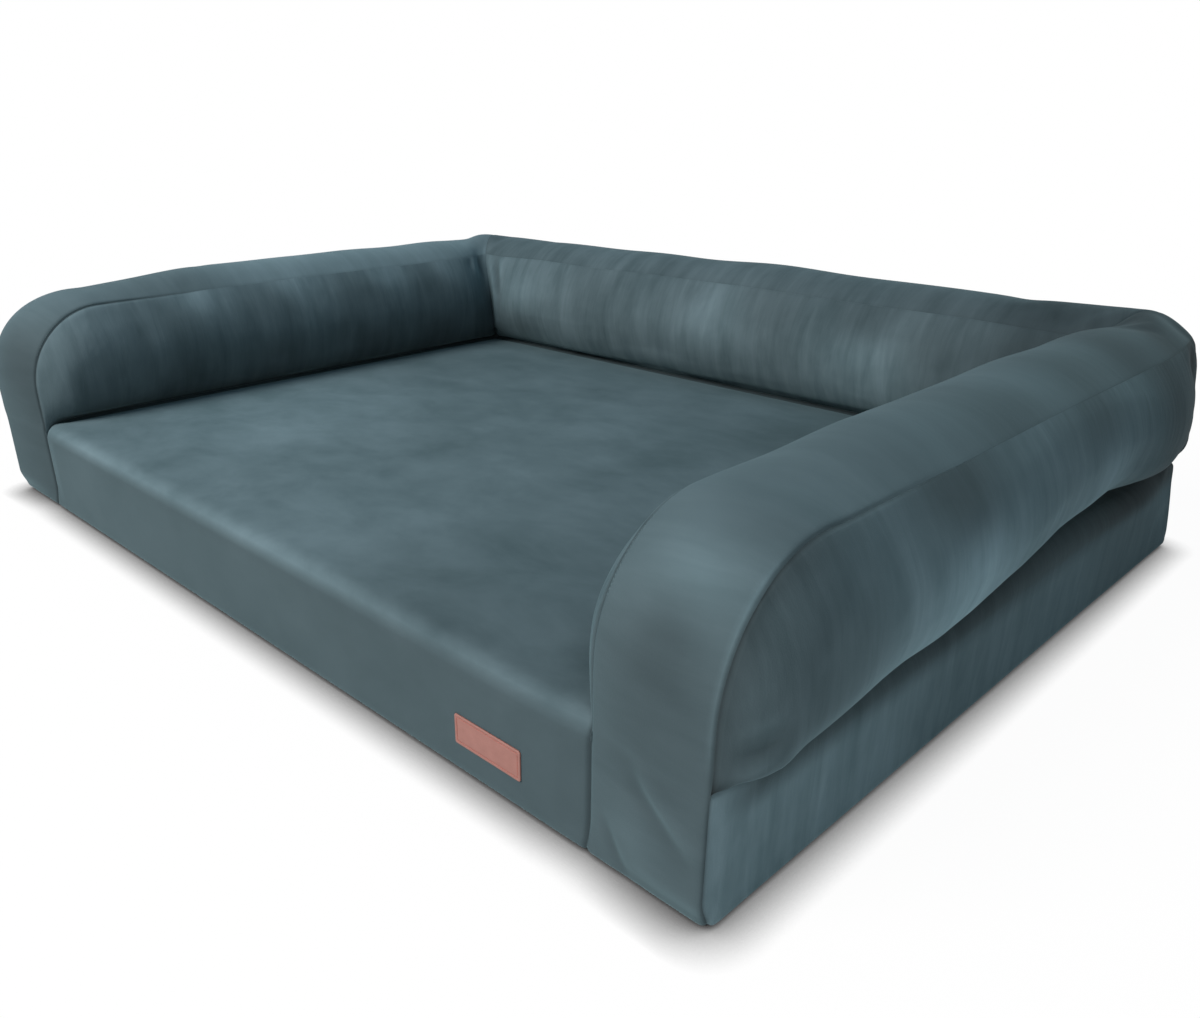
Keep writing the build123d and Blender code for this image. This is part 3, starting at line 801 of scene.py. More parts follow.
def weld(panels):
    """All the panels' points with shared ones counted once, and each panel's point numbers."""
    every = np.concatenate([panel.points.reshape(-1, 3) for panel in panels])
    keys = np.floor(every / WELD_GAP + WELD_SHIFT).astype(np.int64)
    _, first, number = np.unique(keys, axis=0, return_index=True, return_inverse=True)
    number = number.ravel()
    index, start = [], 0
    for panel in panels:
        rows, columns = panel.points.shape[:2]
        index.append(number[start : start + rows * columns].reshape(rows, columns))
        start += rows * columns
    return every[first], index


def facing(panel, index, points):
    """The panel's faces, turned to look outwards."""
    faces = quads(index)
    rows, columns = index.shape
    row, column = rows // 2, columns // 2
    middle = points[index[row, column]]
    normal = np.cross(points[index[row + 1, column]] - middle, points[index[row, column + 1]] - middle)
    return faces if normal @ np.array(panel.outward, float) > 0 else faces[:, ::-1]


def point_normals(points, faces):
    """Unit normal at each point, from the faces round it."""
    a, b, c, d = (points[faces[:, k]] for k in range(4))
    face_normals = np.cross(c - a, d - b)
    normals = np.zeros_like(points)
    for k in range(4):
        np.add.at(normals, faces[:, k], face_normals)
    return normals / np.maximum(np.linalg.norm(normals, axis=1, keepdims=True), 1e-12)


def lumps(points, size, seed):
    """Smooth uneven field from -1 to 1 over the points, with swells of about the given size."""
    random = np.random.default_rng(seed)
    field = np.zeros(len(points))
    for _ in range(LUMP_WAVES):
        way = random.normal(size=3)
        way = way / np.linalg.norm(way) * random.uniform(*LUMP_SPREAD) * math.pi / size
        field += np.sin(points @ way + random.uniform(0, 2 * math.pi))
    return field / math.sqrt(LUMP_WAVES)


def turned(points, end, way, radius, share):
    """Points with the two upright corners at one end of the bed turned on a radius, each by its share."""
    side = np.sign(points[:, 0])
    centre = stacked(side * (OUTER - radius), end - way * radius)
    away = points[:, :2] - centre
    inside = (away[:, 0] * side > 0) & (away[:, 1] * way > 0)
    length = np.maximum(np.linalg.norm(away, axis=1), 1e-9)
    factor = 1 + (np.abs(away).max(axis=1) / length - 1) * share * inside
    return np.column_stack([centre + away * factor[:, None], points[:, 2]])


def drawn_in(points):
    """Points with the bolsters' two back corners turned and pulled in, as stuffing pulls a sewn corner."""
    moved = turned(points, REAR, 1, BOLSTER_ROUND, ramp(points[:, 2], *BOLSTER_ROUND_RAMP))
    from_corner = np.hypot(np.abs(points[:, 0]) - OUTER, points[:, 1] - REAR)
    spread = np.interp(points[:, 2], CORNER_HEIGHTS, CORNER_SPREADS)
    pull = np.interp(points[:, 2], CORNER_HEIGHTS, CORNER_PULLS) * eased(1 - from_corner / spread)
    moved[:, 0] -= np.sign(points[:, 0]) * pull
    moved[:, 1] -= pull
    return moved


def tucked(points):
    """Points with the bolsters' inner back corners leaning outwards, the left one with a raised ear."""
    moved = points.copy()
    side = np.sign(points[:, 0])
    from_corner = np.hypot(np.abs(points[:, 0]) - INNER, points[:, 1] - INNER_BACK)
    lean = eased(1 - from_corner / LEAN_SPREAD) * ramp(points[:, 2], *LEAN_RAMP)
    moved[:, 0] += side * CORNER_LEAN * lean
    ear_x, ear_y = EAR_PLACE
    from_ear = np.hypot(np.abs(points[:, 0]) - INNER - ear_x, points[:, 1] - INNER_BACK - ear_y)
    moved[:, 2] += EAR_HEIGHT * eased(1 - from_ear / EAR_SPREAD) * (points[:, 2] > EAR_FOOT) * (side < 0)
    return moved


def softened(points):
    """Points with the base's bottom edge and its four upright corners rounded, as cloth over foam."""
    moved = points.copy()
    low = np.clip(1 - points[:, 2] / EDGE_ROUND, 0, 1)
    inset = EDGE_ROUND * (1 - np.sqrt(1 - low**2 * 0.999))
    moved[:, 0] -= np.sign(points[:, 0]) * inset * (np.abs(points[:, 0]) > OUTER - RIM)
    moved[:, 1] += inset * (points[:, 1] < FRONT + RIM)
    moved[:, 1] -= inset * (points[:, 1] > REAR - RIM)
    share = 1 - ramp(points[:, 2], *CORNER_ROUND_RAMP)
    for end, way in ((FRONT, -1), (REAR, 1)):
        moved = turned(moved, end, way, CORNER_ROUND, share)
    return moved


def evened(field, faces, rounds):
    """Field over the points, each blended with the mean of its neighbours a number of times."""
    pairs = np.concatenate([faces[:, [k, (k + 1) % 4]] for k in range(4)])
    count = np.maximum(np.bincount(pairs.ravel(), minlength=len(field)), 1)[:, None]
    for _ in range(rounds):
        total = np.zeros_like(field)
        np.add.at(total, pairs[:, 0], field[pairs[:, 1]])
        np.add.at(total, pairs[:, 1], field[pairs[:, 0]])
        field = (field + total / count) / 2
    return field


def inflated(points, faces, held):
    """Points of the stuffed cloth after a short cloth simulation under pressure, none moved past a cap."""
    mesh = bpy.data.meshes.new("stuffing")
    mesh.from_pydata(points.tolist(), [], faces.tolist())
    body = put_in_scene("stuffing", mesh)
    group = body.vertex_groups.new(name="held")
    for weight in np.unique(np.round(held, 1)):
        at = np.flatnonzero(np.round(held, 1) == weight)
        if weight > 0:
            group.add(at.tolist(), float(weight), "REPLACE")
    cloth = body.modifiers.new("cloth", "CLOTH")
    settings = cloth.settings
    settings.quality = 4
    settings.mass = 0.3
    settings.tension_stiffness = 12
    settings.compression_stiffness = 12
    settings.shear_stiffness = 4
    settings.bending_stiffness = 0.3
    settings.use_pressure = True
    settings.uniform_pressure_force = PRESSURE
    settings.vertex_group_mass = "held"
    settings.shrink_min = -CLOTH_SPARE
    settings.effector_weights.gravity = 0
    cloth.point_cache.frame_start = 1
    cloth.point_cache.frame_end = SIMULATED_FRAMES
    scene = bpy.context.scene
    for number in range(1, SIMULATED_FRAMES + 1):
        scene.frame_set(number)
    shaped = body.evaluated_get(bpy.context.evaluated_depsgraph_get())
    result = np.zeros(len(points) * 3)
    shaped.data.vertices.foreach_get("co", result)
    scene.frame_set(1)
    bpy.data.objects.remove(body)
    moved = evened(result.reshape(-1, 3) - points, faces, EVENING_ROUNDS) * (held < HELD_FAST)[:, None]
    length = np.linalg.norm(moved, axis=1, keepdims=True)
    return points + moved * np.minimum(1, SWELL_CAP / np.maximum(length, 1e-9))


@functools.lru_cache(maxsize=1)
def shaped_cover():
    """Every panel of the velour cover in its coarse final shape, each with its normals."""
    strip = arm_strip()
    outer = arm_outer_panel(strip)
    inner = arm_inner_panel(strip)
    side = base_side_panel(strip, outer)
    right = [strip, outer, inner, side]
    back_outer = back_outer_panel(outer)
    panels = right + [mirrored(panel) for panel in right]
    panels += [back_strip(strip), back_inner_panel(inner), back_outer]
    stuffed = len(panels)
    panels += [mattress_panel(strip), *rear_panels(back_outer)]
    points, index = weld(panels)
    points = softened(tucked(drawn_in(points)))
    faces = [facing(panel, numbers, points) for panel, numbers in zip(panels, index)]
    held = np.zeros(len(points))
    for panel, numbers in zip(panels, index):
        held[numbers] = np.maximum(held[numbers], panel.held)
    normals = point_normals(points, np.concatenate(faces))
    points = points + normals * ((1 - held) * LUMP_HEIGHT * lumps(points, LUMP_SIZE, seed=4))[:, None]
    used = np.unique(np.concatenate([numbers.ravel() for numbers in index[:stuffed]]))
    new_number = np.zeros(len(points), np.int64)
    new_number[used] = np.arange(len(used))
    cloth_faces = new_number[np.concatenate(faces[:stuffed])]
    points[used] = inflated(points[used], cloth_faces, held[used])
    normals = point_normals(points, np.concatenate(faces))
    cover = {}
    for panel, numbers in zip(panels, index):
        panel.points = points[numbers]
        cover[panel.name] = (panel, normals[numbers])
    return cover


def read_at(grid, places):
    """Grid read at fractional places along its first axis, on a smooth curve through its points."""
    last = len(grid) - 1
    start = np.minimum(places.astype(int), last - 1)
    t = (places - start)[:, None, None]
    a, b, c, d = (grid[np.clip(start + step, 0, last)] for step in (-1, 0, 1, 2))
    return b + 0.5 * t * (c - a + t * (2 * a - 5 * b + 4 * c - d + t * (3 * (b - c) + d - a)))


def fine_places(cells, splits):
    """Places along an axis: each cell split, with closer ones by both ends for the roll of a seam."""
    places = np.linspace(0, cells, cells * splits + 1)
    return np.unique(np.round(np.concatenate([places, SEAM_PLACES, cells - SEAM_PLACES]), 6))


def refined(grid, splits):
    """Grid with its cells split, and closer rows and columns by its edges."""
    grid = read_at(grid, fine_places(grid.shape[0] - 1, splits))
    grid = read_at(grid.transpose(1, 0, 2), fine_places(grid.shape[1] - 1, splits))
    return grid.transpose(1, 0, 2)


def relaxed(points):
    """Grid with the points near its flat front top corner evened out, so that no cell folds over there."""
    share = eased(1 - np.linalg.norm(points - points[0, -1], axis=-1) / FLAT_CORNER)[1:-1, 1:-1, None]
    for _ in range(RELAXING_ROUNDS):
        mean = (points[:-2, 1:-1] + points[2:, 1:-1] + points[1:-1, :-2] + points[1:-1, 2:]) / 4
        points[1:-1, 1:-1] += share * (mean - points[1:-1, 1:-1])
    return points


def edge_distance(points):
    """Distance of each grid point from the nearest of the grid's four edges, along the grid's lines."""
    steps = [np.linalg.norm(np.diff(points, axis=axis), axis=-1) for axis in (0, 1)]
    rows = np.concatenate([np.zeros((1, points.shape[1])), np.cumsum(steps[0], axis=0)])
    columns = np.concatenate([np.zeros((points.shape[0], 1)), np.cumsum(steps[1], axis=1)], axis=1)
    return np.minimum(np.minimum(rows, rows[-1:] - rows), np.minimum(columns, columns[:, -1:] - columns))


def creased(points):
    """How much of a crease runs at each point: full where a bolster meets the mattress or the base."""
    level = 1 - ramp(np.abs(points[..., 2] - CREASE - CREASE_MIDDLE), CREASE_HALF, CREASE_FADE)
    return level * ramp(points[..., 1] - FRONT, *CREASE_START_RAMP)


def from_line(places, line):
    """Distance of each place from a line of points in the plane, and how near it is to the line's ends."""
    nearest_gap = np.full(places.shape[:-1], np.inf)
    along = np.zeros(places.shape[:-1])
    count = len(line) - 1
    for number in range(count):
        start, way = line[number], line[number + 1] - line[number]
        share = np.clip(((places - start) @ way) / (way @ way), 0, 1)
        gap = np.linalg.norm(places - start - share[..., None] * way, axis=-1)
        closer = gap < nearest_gap
        nearest_gap = np.where(closer, gap, nearest_gap)
        along = np.where(closer, (number + share) / count, along)
    return nearest_gap, along


def folds_at(name, points, from_edge):
    """Height of the folds that run across a panel at each of its points, none at its seams."""
    height = np.zeros(points.shape[:2])
    for panel, axes, line, width, rise in FOLDS:
        if panel == name:
            gap, along = from_line(points[..., axes], np.array(line) * MM)
            ends = np.sin(math.pi * np.clip(along, *FOLD_ENDS))
            height += rise * MM * bell(gap, width * MM) * ends
    return height * (1 - bell(from_edge, FOLD_MARGIN))


def pile_and_painted_light_at(name, points, fold, roll, from_edge):
    """Painted light and shade on the pile at each point, how plainly it is streaked, and its sheen."""
    places = np.array([place for place, _ in PAINTED_LIGHT_PLACES[name]]) * MM
    tones = np.array([tone for _, tone in PAINTED_LIGHT_PLACES[name]])
    gaps = np.linalg.norm(points[..., None, :] - places, axis=-1)
    weights = 1 / (gaps**2 + PAINTED_LIGHT_BLUR**2) ** 1.5
    light = (weights * tones).sum(axis=-1) / weights.sum(axis=-1)
    from_front = points[..., 1] - FRONT
    height = points[..., 2]
    # Painted shade over the mattress's front face, and a painted highlight along the turn of its front edge
    if name == "mattress_panel":
        over = ramp(height, *MATTRESS_TOP_RAMP)
        from_turn = np.hypot(from_front - EDGE_TURN[0], height - CREASE + EDGE_TURN[1])
        light = MATTRESS_FRONT_PAINTED_SHADE + (light - MATTRESS_FRONT_PAINTED_SHADE) * over
        light = light + EDGE_GLOW * bell(from_turn, EDGE_GLOW_WIDTH)
    # Painted shade on an outer panel beside its front seam
    if name == "right_arm_outer_panel":
        at_front = 1 - ramp(from_front, *FRONT_SHADE_RAMP)
        light = light * (1 - FRONT_SHADE * at_front * bell(from_edge, FRONT_SHADE_WIDTH))
    # Painted shading over the folds, lighter on crests and darker in hollows, and painted shade where the
    # pile rolls in to a seam
    light = light * np.clip(1 + FOLD_PAINTED_SHADING * fold, 0.5, 1.5) * (1 - SEAM_SHADE * roll)
    # Painted shade along the creases where a bolster meets the mattress or the base
    light = light * (1 - CREASE_SHADE * bell(from_edge, CREASE_SHADE_WIDTH) * creased(points))
    # Painted shade under an outer panel's bulge, along its lower edge
    if name.endswith("outer_panel"):
        gap = np.linalg.norm(points - points[:, :1], axis=-1)
        light = light * (1 - BULGE_SHADE * bell(gap, BULGE_SHADE_WIDTH))
    # Painted shade on a base side's upper part under the bulge, from a little behind the front
    if name.endswith("base_side_panel"):
        off_front = ramp(from_front, 0, BASE_SHADE_START)
        light = light * (1 - BASE_SHADE * off_front * ramp(height, *BASE_SHADE_RAMP))
    # Painted highlight along a strip's outer seam, up its front
    if name.endswith("arm_strip"):
        gap = np.linalg.norm(points - points[:, -1:], axis=-1) - RIM_GLOW_INSET
        upright = ramp(height, *RIM_GLOW_RISE) * (1 - ramp(from_front, *RIM_GLOW_END))
        light = light * (1 + RIM_GLOW * upright * bell(gap, RIM_GLOW_WIDTH))
    streaks = SMOOTH_STRIPS if name.endswith("arm_strip") else 1.0
    if name == "mattress_panel":
        streaks = SMOOTH_FRONT + (1 - SMOOTH_FRONT) * over
    # Sheen dimmed where the painted shade is deep
    return stacked(light, streaks, FULL_SHEEN * np.clip(light / DULL_BELOW, LEAST_SHEEN, 1))


def cloth_piece(name, splits=2):
    """Finished panel of the cover: fine grid, edges rolled in to the seams, flat places as its UV map."""
    sizes = bpy.context.scene.bed_sizes
    panel, normals = shaped_cover()[name]
    points = refined(panel.points, splits)
    inward = refined(normals, splits)
    cloth = refined(panel.cloth, splits)
    if "_arm_" in name and not name.endswith("strip"):
        points = relaxed(points.copy())
    from_edge = edge_distance(points)
    roll = bell(from_edge, sizes.seam_width)
    on_top = ramp(points[..., 2], *ROLL_RISE) * ramp(points[..., 1] - FRONT, *ROLL_FADE)
    roll = roll * (1 - ROLL_LOST * on_top)
    crease = bell(from_edge, sizes.crease_width) * creased(points)
    fold = folds_at(name, points, from_edge)
    nap = pile_and_painted_light_at(name, points, fold, roll, from_edge)
    depth = sizes.seam_depth * roll + sizes.crease_depth * crease - fold
    points = points - inward * depth[..., None]
    FINISHED_GRIDS[name] = points
    pile = velour(name != "mattress_panel")
    made = mesh_piece(name, points, panel, cloth, pile, sizes.cloth)
    # Painted light and shade, the streaks' strength and the sheen, kept on the points for the velour
    layer = made.data.attributes.new("nap", "FLOAT_VECTOR", "POINT")
    layer.data.foreach_set("vector", nap.ravel())
    return made


def mesh_piece(name, points, panel, cloth, material, thickness):
    """Object of a grid of points that faces as its panel does, with its flat places as its UV map."""
    rows, columns = points.shape[:2]
    flat = points.reshape(-1, 3)
    faces = facing(panel, np.arange(rows * columns).reshape(rows, columns), flat)
    mesh = bpy.data.meshes.new(name + "_cloth")
    mesh.from_pydata(flat.tolist(), [], faces.tolist())
    mesh.shade_smooth()
    layer = mesh.uv_layers.new(name="cloth")
    loops = np.zeros(len(mesh.loops), np.int32)
    mesh.loops.foreach_get("vertex_index", loops)
    layer.data.foreach_set("uv", cloth.reshape(-1, 2)[loops].astype(np.float32).ravel())
    mesh.materials.append(material)
    piece = put_in_scene(name + "_cloth", mesh)
    wall = piece.modifiers.new("thickness", "SOLIDIFY")
    wall.thickness = thickness
    wall.offset = -1
    return piece


def dressed(piece, node, body="bed"):
    """Piece that rides on a body and stands for a CAD node, which is hidden."""
    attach(piece, body)
    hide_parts(node)
    return piece


def grid_piece(name, points, outward, material, thickness):
    """Sheet of cloth on one grid of points."""
    sheet = Panel(name, points, points[..., :2], np.zeros(points.shape[:2]), outward)
    return mesh_piece(name, points, sheet, sheet.cloth, material, thickness)


def spread(low, high, cell):
    """Even places from low to high, about a cell apart."""
    return np.linspace(low, high, max(2, round((high - low) / cell)) + 1)


def remade(mesh, voxel, inset, lump, size, seed):
    """Mesh rebuilt in even cells, smoothed, inset and given soft lumps, with no sharp edges."""
    body = put_in_scene("remade", mesh)
    cells = body.modifiers.new("cells", "REMESH")
    cells.mode = "VOXEL"
    cells.voxel_size = voxel
    soft = body.modifiers.new("soft", "SMOOTH")
    soft.factor = 0.5
    soft.iterations = 3
    made = bpy.data.meshes.new_from_object(body.evaluated_get(bpy.context.evaluated_depsgraph_get()))
    bpy.data.objects.remove(body)
    points = np.zeros(len(made.vertices) * 3)
    normals = np.zeros(len(made.vertices) * 3)
    made.vertices.foreach_get("co", points)
    made.vertices.foreach_get("normal", normals)
    points = points.reshape(-1, 3)
    outward = lump * lumps(points, size, seed) - inset
    points = points + normals.reshape(-1, 3) * outward[:, None]
    made.vertices.foreach_set("co", points.ravel())
    made.shade_smooth()
    made.materials.clear()
    return made


def bolster_core(names):
    """Closed surface a little inside one bolster's strip, outer panel and inner panel."""
    cover = shaped_cover()
    parts = []
    for name in names:
        panel, normals = cover[name]
        first_row = EDGE_ROWS if name.endswith("arm_strip") else 0
        points = (panel.points - normals * FILLING_GAP)[first_row:]
        parts.append(Panel(name, points, points[..., :2], np.zeros(points.shape[:2]), panel.outward))
    points, index = weld(parts)
    faces = [quads(numbers) for numbers in index]
    outer_low, inner_low = index[1][:, 0], index[2][:, 0]
    faces.append(stacked(outer_low[:-1], outer_low[1:], inner_low[1:], inner_low[:-1]))
    mesh = bpy.data.meshes.new("core")
    mesh.from_pydata(points.tolist(), [], np.concatenate(faces).tolist())
    mesh.validate()
    shell = bmesh.new()
    shell.from_mesh(mesh)
    bmesh.ops.holes_fill(shell, edges=[edge for edge in shell.edges if edge.is_boundary], sides=0)
    bmesh.ops.recalc_face_normals(shell, faces=shell.faces)
    shell.to_mesh(mesh)
    shell.free()
    return mesh


def merged_copy(node):
    """Copy of a CAD node's mesh with its loose triangles joined and the back corners drawn in."""
    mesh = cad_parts[node].data.copy()
    joined = bmesh.new()
    joined.from_mesh(mesh)
    bmesh.ops.remove_doubles(joined, verts=joined.verts, dist=0.01 * MM)
    places = drawn_in(np.array([vertex.co for vertex in joined.verts]))
    for vertex, place in zip(joined.verts, places):
        vertex.co = place
    joined.to_mesh(mesh)
    joined.free()
    return mesh


def mixed_tone(tree, factor, dark, light):
    """Colour between two others, each an sRGB hex colour or another node's output."""
    tone = add_node(tree, "ShaderNodeMix", {"Factor": factor}, data_type="RGBA")
    colours = [socket for socket in tone.inputs if socket.type == "RGBA"]
    for socket, colour in zip(colours, (dark, light)):
        if isinstance(colour, str):
            socket.default_value = linear(colour)
        else:
            tree.links.new(colour, socket)
    return [socket for socket in tone.outputs if socket.type == "RGBA"][0]


def patterned(name, dark, light, pattern, strength, distance, **inputs):
    """Material whose pattern gives the share of its light tone and the height of its relief."""
    material, tree, output = new_material(name)
    share, height = pattern(tree, object_place(tree))
    tone = mixed_tone(tree, share, dark, light)
    links = {"Base Color": tone, "Normal": bumped(tree, height, strength, distance)}
    named = {key.replace("_", " "): value for key, value in inputs.items()}
    shader = add_node(tree, "ShaderNodeBsdfPrincipled", links, inputs=named)
    tree.links.new(shader.outputs["BSDF"], output.inputs["Surface"])
    return material


def woven(name, dark, light, thread, roughness):
    """Plain woven cloth: two crossed sets of threads a thread apart, slightly uneven in colour."""

    def weave(tree, place):
        waves = [
            add_node(
                tree, "ShaderNodeTexWave", {"Vector": place}, bands_direction=way,
                inputs={"Scale": math.pi / (10 * thread), "Distortion": 0.4, "Detail": 1.0},
            ).outputs["Fac"]
            for way in ("X", "Y", "Z")
        ]
        lower = combined(tree, "MAXIMUM", waves[0], waves[1])
        return noise(tree, place, 30.0, 3.0), combined(tree, "ADD", lower, waves[2])

    return patterned(
        name, dark, light, weave, 0.3, thread / 4, Roughness=roughness, Specular_IOR_Level=0.3,
    )


@functools.lru_cache(maxsize=None)
def lining_cloth():
    """Woven polyester lining, thin and slightly shiny."""
    return woven("woven_polyester_lining", "2b3234", "343c3e", 0.5 * MM, 0.55)


@functools.lru_cache(maxsize=None)
def underside_cloth():
    """Coated woven polyester that the grip dots are printed on: dull, almost black."""
    return woven("woven_polyester_coated", "1c1f20", "26292a", 0.6 * MM, 0.8)


@functools.lru_cache(maxsize=None)
def zip_cloth():
    """Herringbone zip tape, woven polyester dyed to match the velour."""
    return woven("woven_polyester_zip_tape", "2c4045", "36505a", 0.45 * MM, 0.7)


def pits(tree, place, size):
    """Small pits or pebbles of one size."""
    made = add_node(tree, "ShaderNodeTexVoronoi", {"Vector": place}, inputs={"Scale": 1 / size})
    return made.outputs["Distance"]


def cellular(name, dark, light, cell, roughness, relief):
    """Open cellular stuff: dull, with small pits of one size."""

    def cells(tree, place):
        return (pits(tree, place, cell),) * 2

    return patterned(
        name, dark, light, cells, relief, cell / 2, Roughness=roughness, Specular_IOR_Level=0.15,
    )


@functools.lru_cache(maxsize=None)
def base_foam():
    """Reconstituted polyurethane foam, cut with a hot wire: dull, coarse pits."""
    return cellular("cut_polyurethane_foam_firm", "8f9698", "b4babb", 2.0 * MM, 0.95, 0.5)


@functools.lru_cache(maxsize=None)
def comfort_foam():
    """Slow-recovery polyurethane foam, moulded: dull, fine pits."""
    return cellular("moulded_polyurethane_foam_soft", "ddd6c0", "efe9d8", 1.0 * MM, 0.95, 0.3)


@functools.lru_cache(maxsize=None)
def fibre():
    """Carded polyester fibre: white, matted, very soft."""
    return cellular("carded_polyester_fibre", "dcdfe0", "f2f4f4", 4.0 * MM, 1.0, 0.6)


@functools.lru_cache(maxsize=None)
def label_leather():
    """Embossed polyurethane faux leather: fine pebbled grain with a low satin gloss."""

    def grain(tree, place):
        return noise(tree, place, 120.0, 3.0), pits(tree, place, 0.9 * MM)

    colours = bpy.context.scene.bed_colours
    return patterned(
        "embossed_faux_leather", colours.label_shade, colours.label, grain, 0.35, 0.3 * MM,
        Roughness=0.55, Specular_IOR_Level=0.4,
    )


def mottled(name, dark, light, scale, detail, strength, distance, **inputs):
    """Smooth hard stuff: one colour with faint mottling that its relief follows."""

    def mottle(tree, place):
        return (noise(tree, place, scale, detail),) * 2

    return patterned(name, dark, light, mottle, strength, distance, **inputs)


def smooth_plastic(name, dark, light, roughness):
    """Moulded plastic or thread with a soft gloss."""
    return mottled(name, dark, light, 400.0, 2.0, 0.15, 0.1 * MM, Roughness=roughness)


@functools.lru_cache(maxsize=None)
def zip_nylon():
    """Extruded polyamide coil, dyed: satin gloss."""
    return smooth_plastic("extruded_polyamide_coil", "24363b", "2c4248", 0.4)


@functools.lru_cache(maxsize=None)
def label_thread():
    """Twisted polyester sewing thread, matched to the label."""
    return smooth_plastic("twisted_polyester_thread_label", "8e4f45", "a86256", 0.6)


@functools.lru_cache(maxsize=None)
def cover_thread():
    """Twisted polyester sewing thread, matched to the velour."""
    return smooth_plastic("twisted_polyester_thread_cover", "2f464b", "3b565c", 0.6)


@functools.lru_cache(maxsize=None)
def grip_pvc():
    """Printed soft PVC dots: dark, rubbery, faintly glossy."""
    return smooth_plastic("printed_soft_pvc", "101112", "181a1b", 0.5)


@functools.lru_cache(maxsize=None)
def zip_metal():
    """Die-cast zinc with a baked dark lacquer: low gloss, worn bright spots too small to see."""
    return mottled(
        "lacquered_die_cast_zinc", "2e3436", "3c4447", 900.0, 3.0, 0.2, 0.05 * MM,
        Roughness=0.35, Metallic=0.6,
    )


def repeat_tree(name, sizes):
    """Empty Geometry Nodes tree with a geometry input and named sizes, and its two end nodes."""
    tree = bpy.data.node_groups.new(name, "GeometryNodeTree")
    tree.interface.new_socket("Geometry", in_out="INPUT", socket_type="NodeSocketGeometry")
    for size, value in sizes.items():
        socket = tree.interface.new_socket(size, in_out="INPUT", socket_type="NodeSocketFloat")
        socket.default_value = value
    tree.interface.new_socket("Geometry", in_out="OUTPUT", socket_type="NodeSocketGeometry")
    return tree, add_node(tree, "NodeGroupInput"), add_node(tree, "NodeGroupOutput")


def spaced(tree, start):
    """Points along the tree's lines, one at each pitch."""
    curve = add_node(tree, "GeometryNodeMeshToCurve", {"Mesh": start.outputs["Geometry"]})
    links = {"Curve": curve.outputs[0], "Length": start.outputs["Pitch"]}
    return add_node(tree, "GeometryNodeResampleCurve", links, mode="LENGTH").outputs[0]


def repeated(tree, start, end, material, points, instance, scales, **links):
    """The tree's last steps: an instance on each point, scaled by three sizes, made real in a material."""
    sizes = {axis: start.outputs[size] for axis, size in zip("XYZ", scales)}
    scale = add_node(tree, "ShaderNodeCombineXYZ", sizes).outputs[0]
    links = {"Points": points, "Instance": instance.outputs["Mesh"], "Scale": scale, **links}
    placed = add_node(tree, "GeometryNodeInstanceOnPoints", links)
    real = add_node(tree, "GeometryNodeRealizeInstances", {"Geometry": placed.outputs[0]})
    done = add_node(tree, "GeometryNodeSetMaterial", {"Geometry": real.outputs["Geometry"]})
    done.inputs["Material"].default_value = material
    tree.links.new(done.outputs["Geometry"], end.inputs[0])
    return tree


def made_by(tree, name, points, edges, sizes):
    """Plain mesh that a tree makes from lines of points at the given sizes."""
    mesh = bpy.data.meshes.new(name)
    mesh.from_pydata(points, edges, [])
    source = put_in_scene(name + "_source", mesh)
    modifier = source.modifiers.new("repeat", "NODES")
    modifier.node_group = tree
    for socket in tree.interface.items_tree:
        if socket.in_out == "INPUT" and socket.name in sizes:
            modifier[socket.identifier] = sizes[socket.name]
    source.update_tag()
    made = bpy.data.meshes.new_from_object(source.evaluated_get(bpy.context.evaluated_depsgraph_get()))
    bpy.data.objects.remove(source)
    made.name = name
    made.shade_smooth()
    return made


def stitch_tree(material):
    """Stitches along lines: capsules of thread, one at each pitch."""
    sizes = {"Pitch": 3 * MM, "Length": 2.2 * MM, "Thread": 0.5 * MM}
    tree, start, end = repeat_tree("thread_stitches", sizes)
    ball = add_node(tree, "GeometryNodeMeshUVSphere", inputs={"Segments": 8, "Rings": 6, "Radius": 0.5})
    tangent = add_node(tree, "GeometryNodeInputTangent").outputs[0]
    turn = add_node(tree, "FunctionNodeAlignRotationToVector", {"Vector": tangent}, axis="X")
    scales = ("Length", "Thread", "Thread")
    return repeated(
        tree, start, end, material, spaced(tree, start), ball, scales, Rotation=turn.outputs[0]
    )


def tooth_tree(material):
    """Teeth of a coil zip: oval turns of a fixed width, one at each pitch along a line."""
    sizes = {"Pitch": 1.4 * MM, "Length": 2.4 * MM, "Wire": 0.9 * MM, "Depth": 1.9 * MM}
    tree, start, end = repeat_tree("coil_teeth", sizes)
    rod = add_node(tree, "GeometryNodeMeshUVSphere", inputs={"Segments": 8, "Rings": 5, "Radius": 0.5})
    return repeated(tree, start, end, material, spaced(tree, start), rod, ("Wire", "Depth", "Length"))


def dot_tree(material):
    """Low round dots on a grid of points."""
    tree, start, end = repeat_tree("grip_dots", {"Radius": 1.6 * MM, "Height": 1.0 * MM})
    dot = add_node(tree, "GeometryNodeMeshCylinder", inputs={"Vertices": 8, "Radius": 1.0, "Depth": 1.0})
    scales = ("Radius", "Radius", "Height")
    return repeated(tree, start, end, material, start.outputs["Geometry"], dot, scales)


def seen_rays(tree):
    """1 for rays from the camera and for those it sees in metal or through glass, else 0."""
    rays = add_node(tree, "ShaderNodeLightPath").outputs
    shiny = combined(tree, "MAXIMUM", rays["Is Glossy Ray"], rays["Is Transmission Ray"])
    return combined(tree, "MAXIMUM", rays["Is Camera Ray"], shiny)


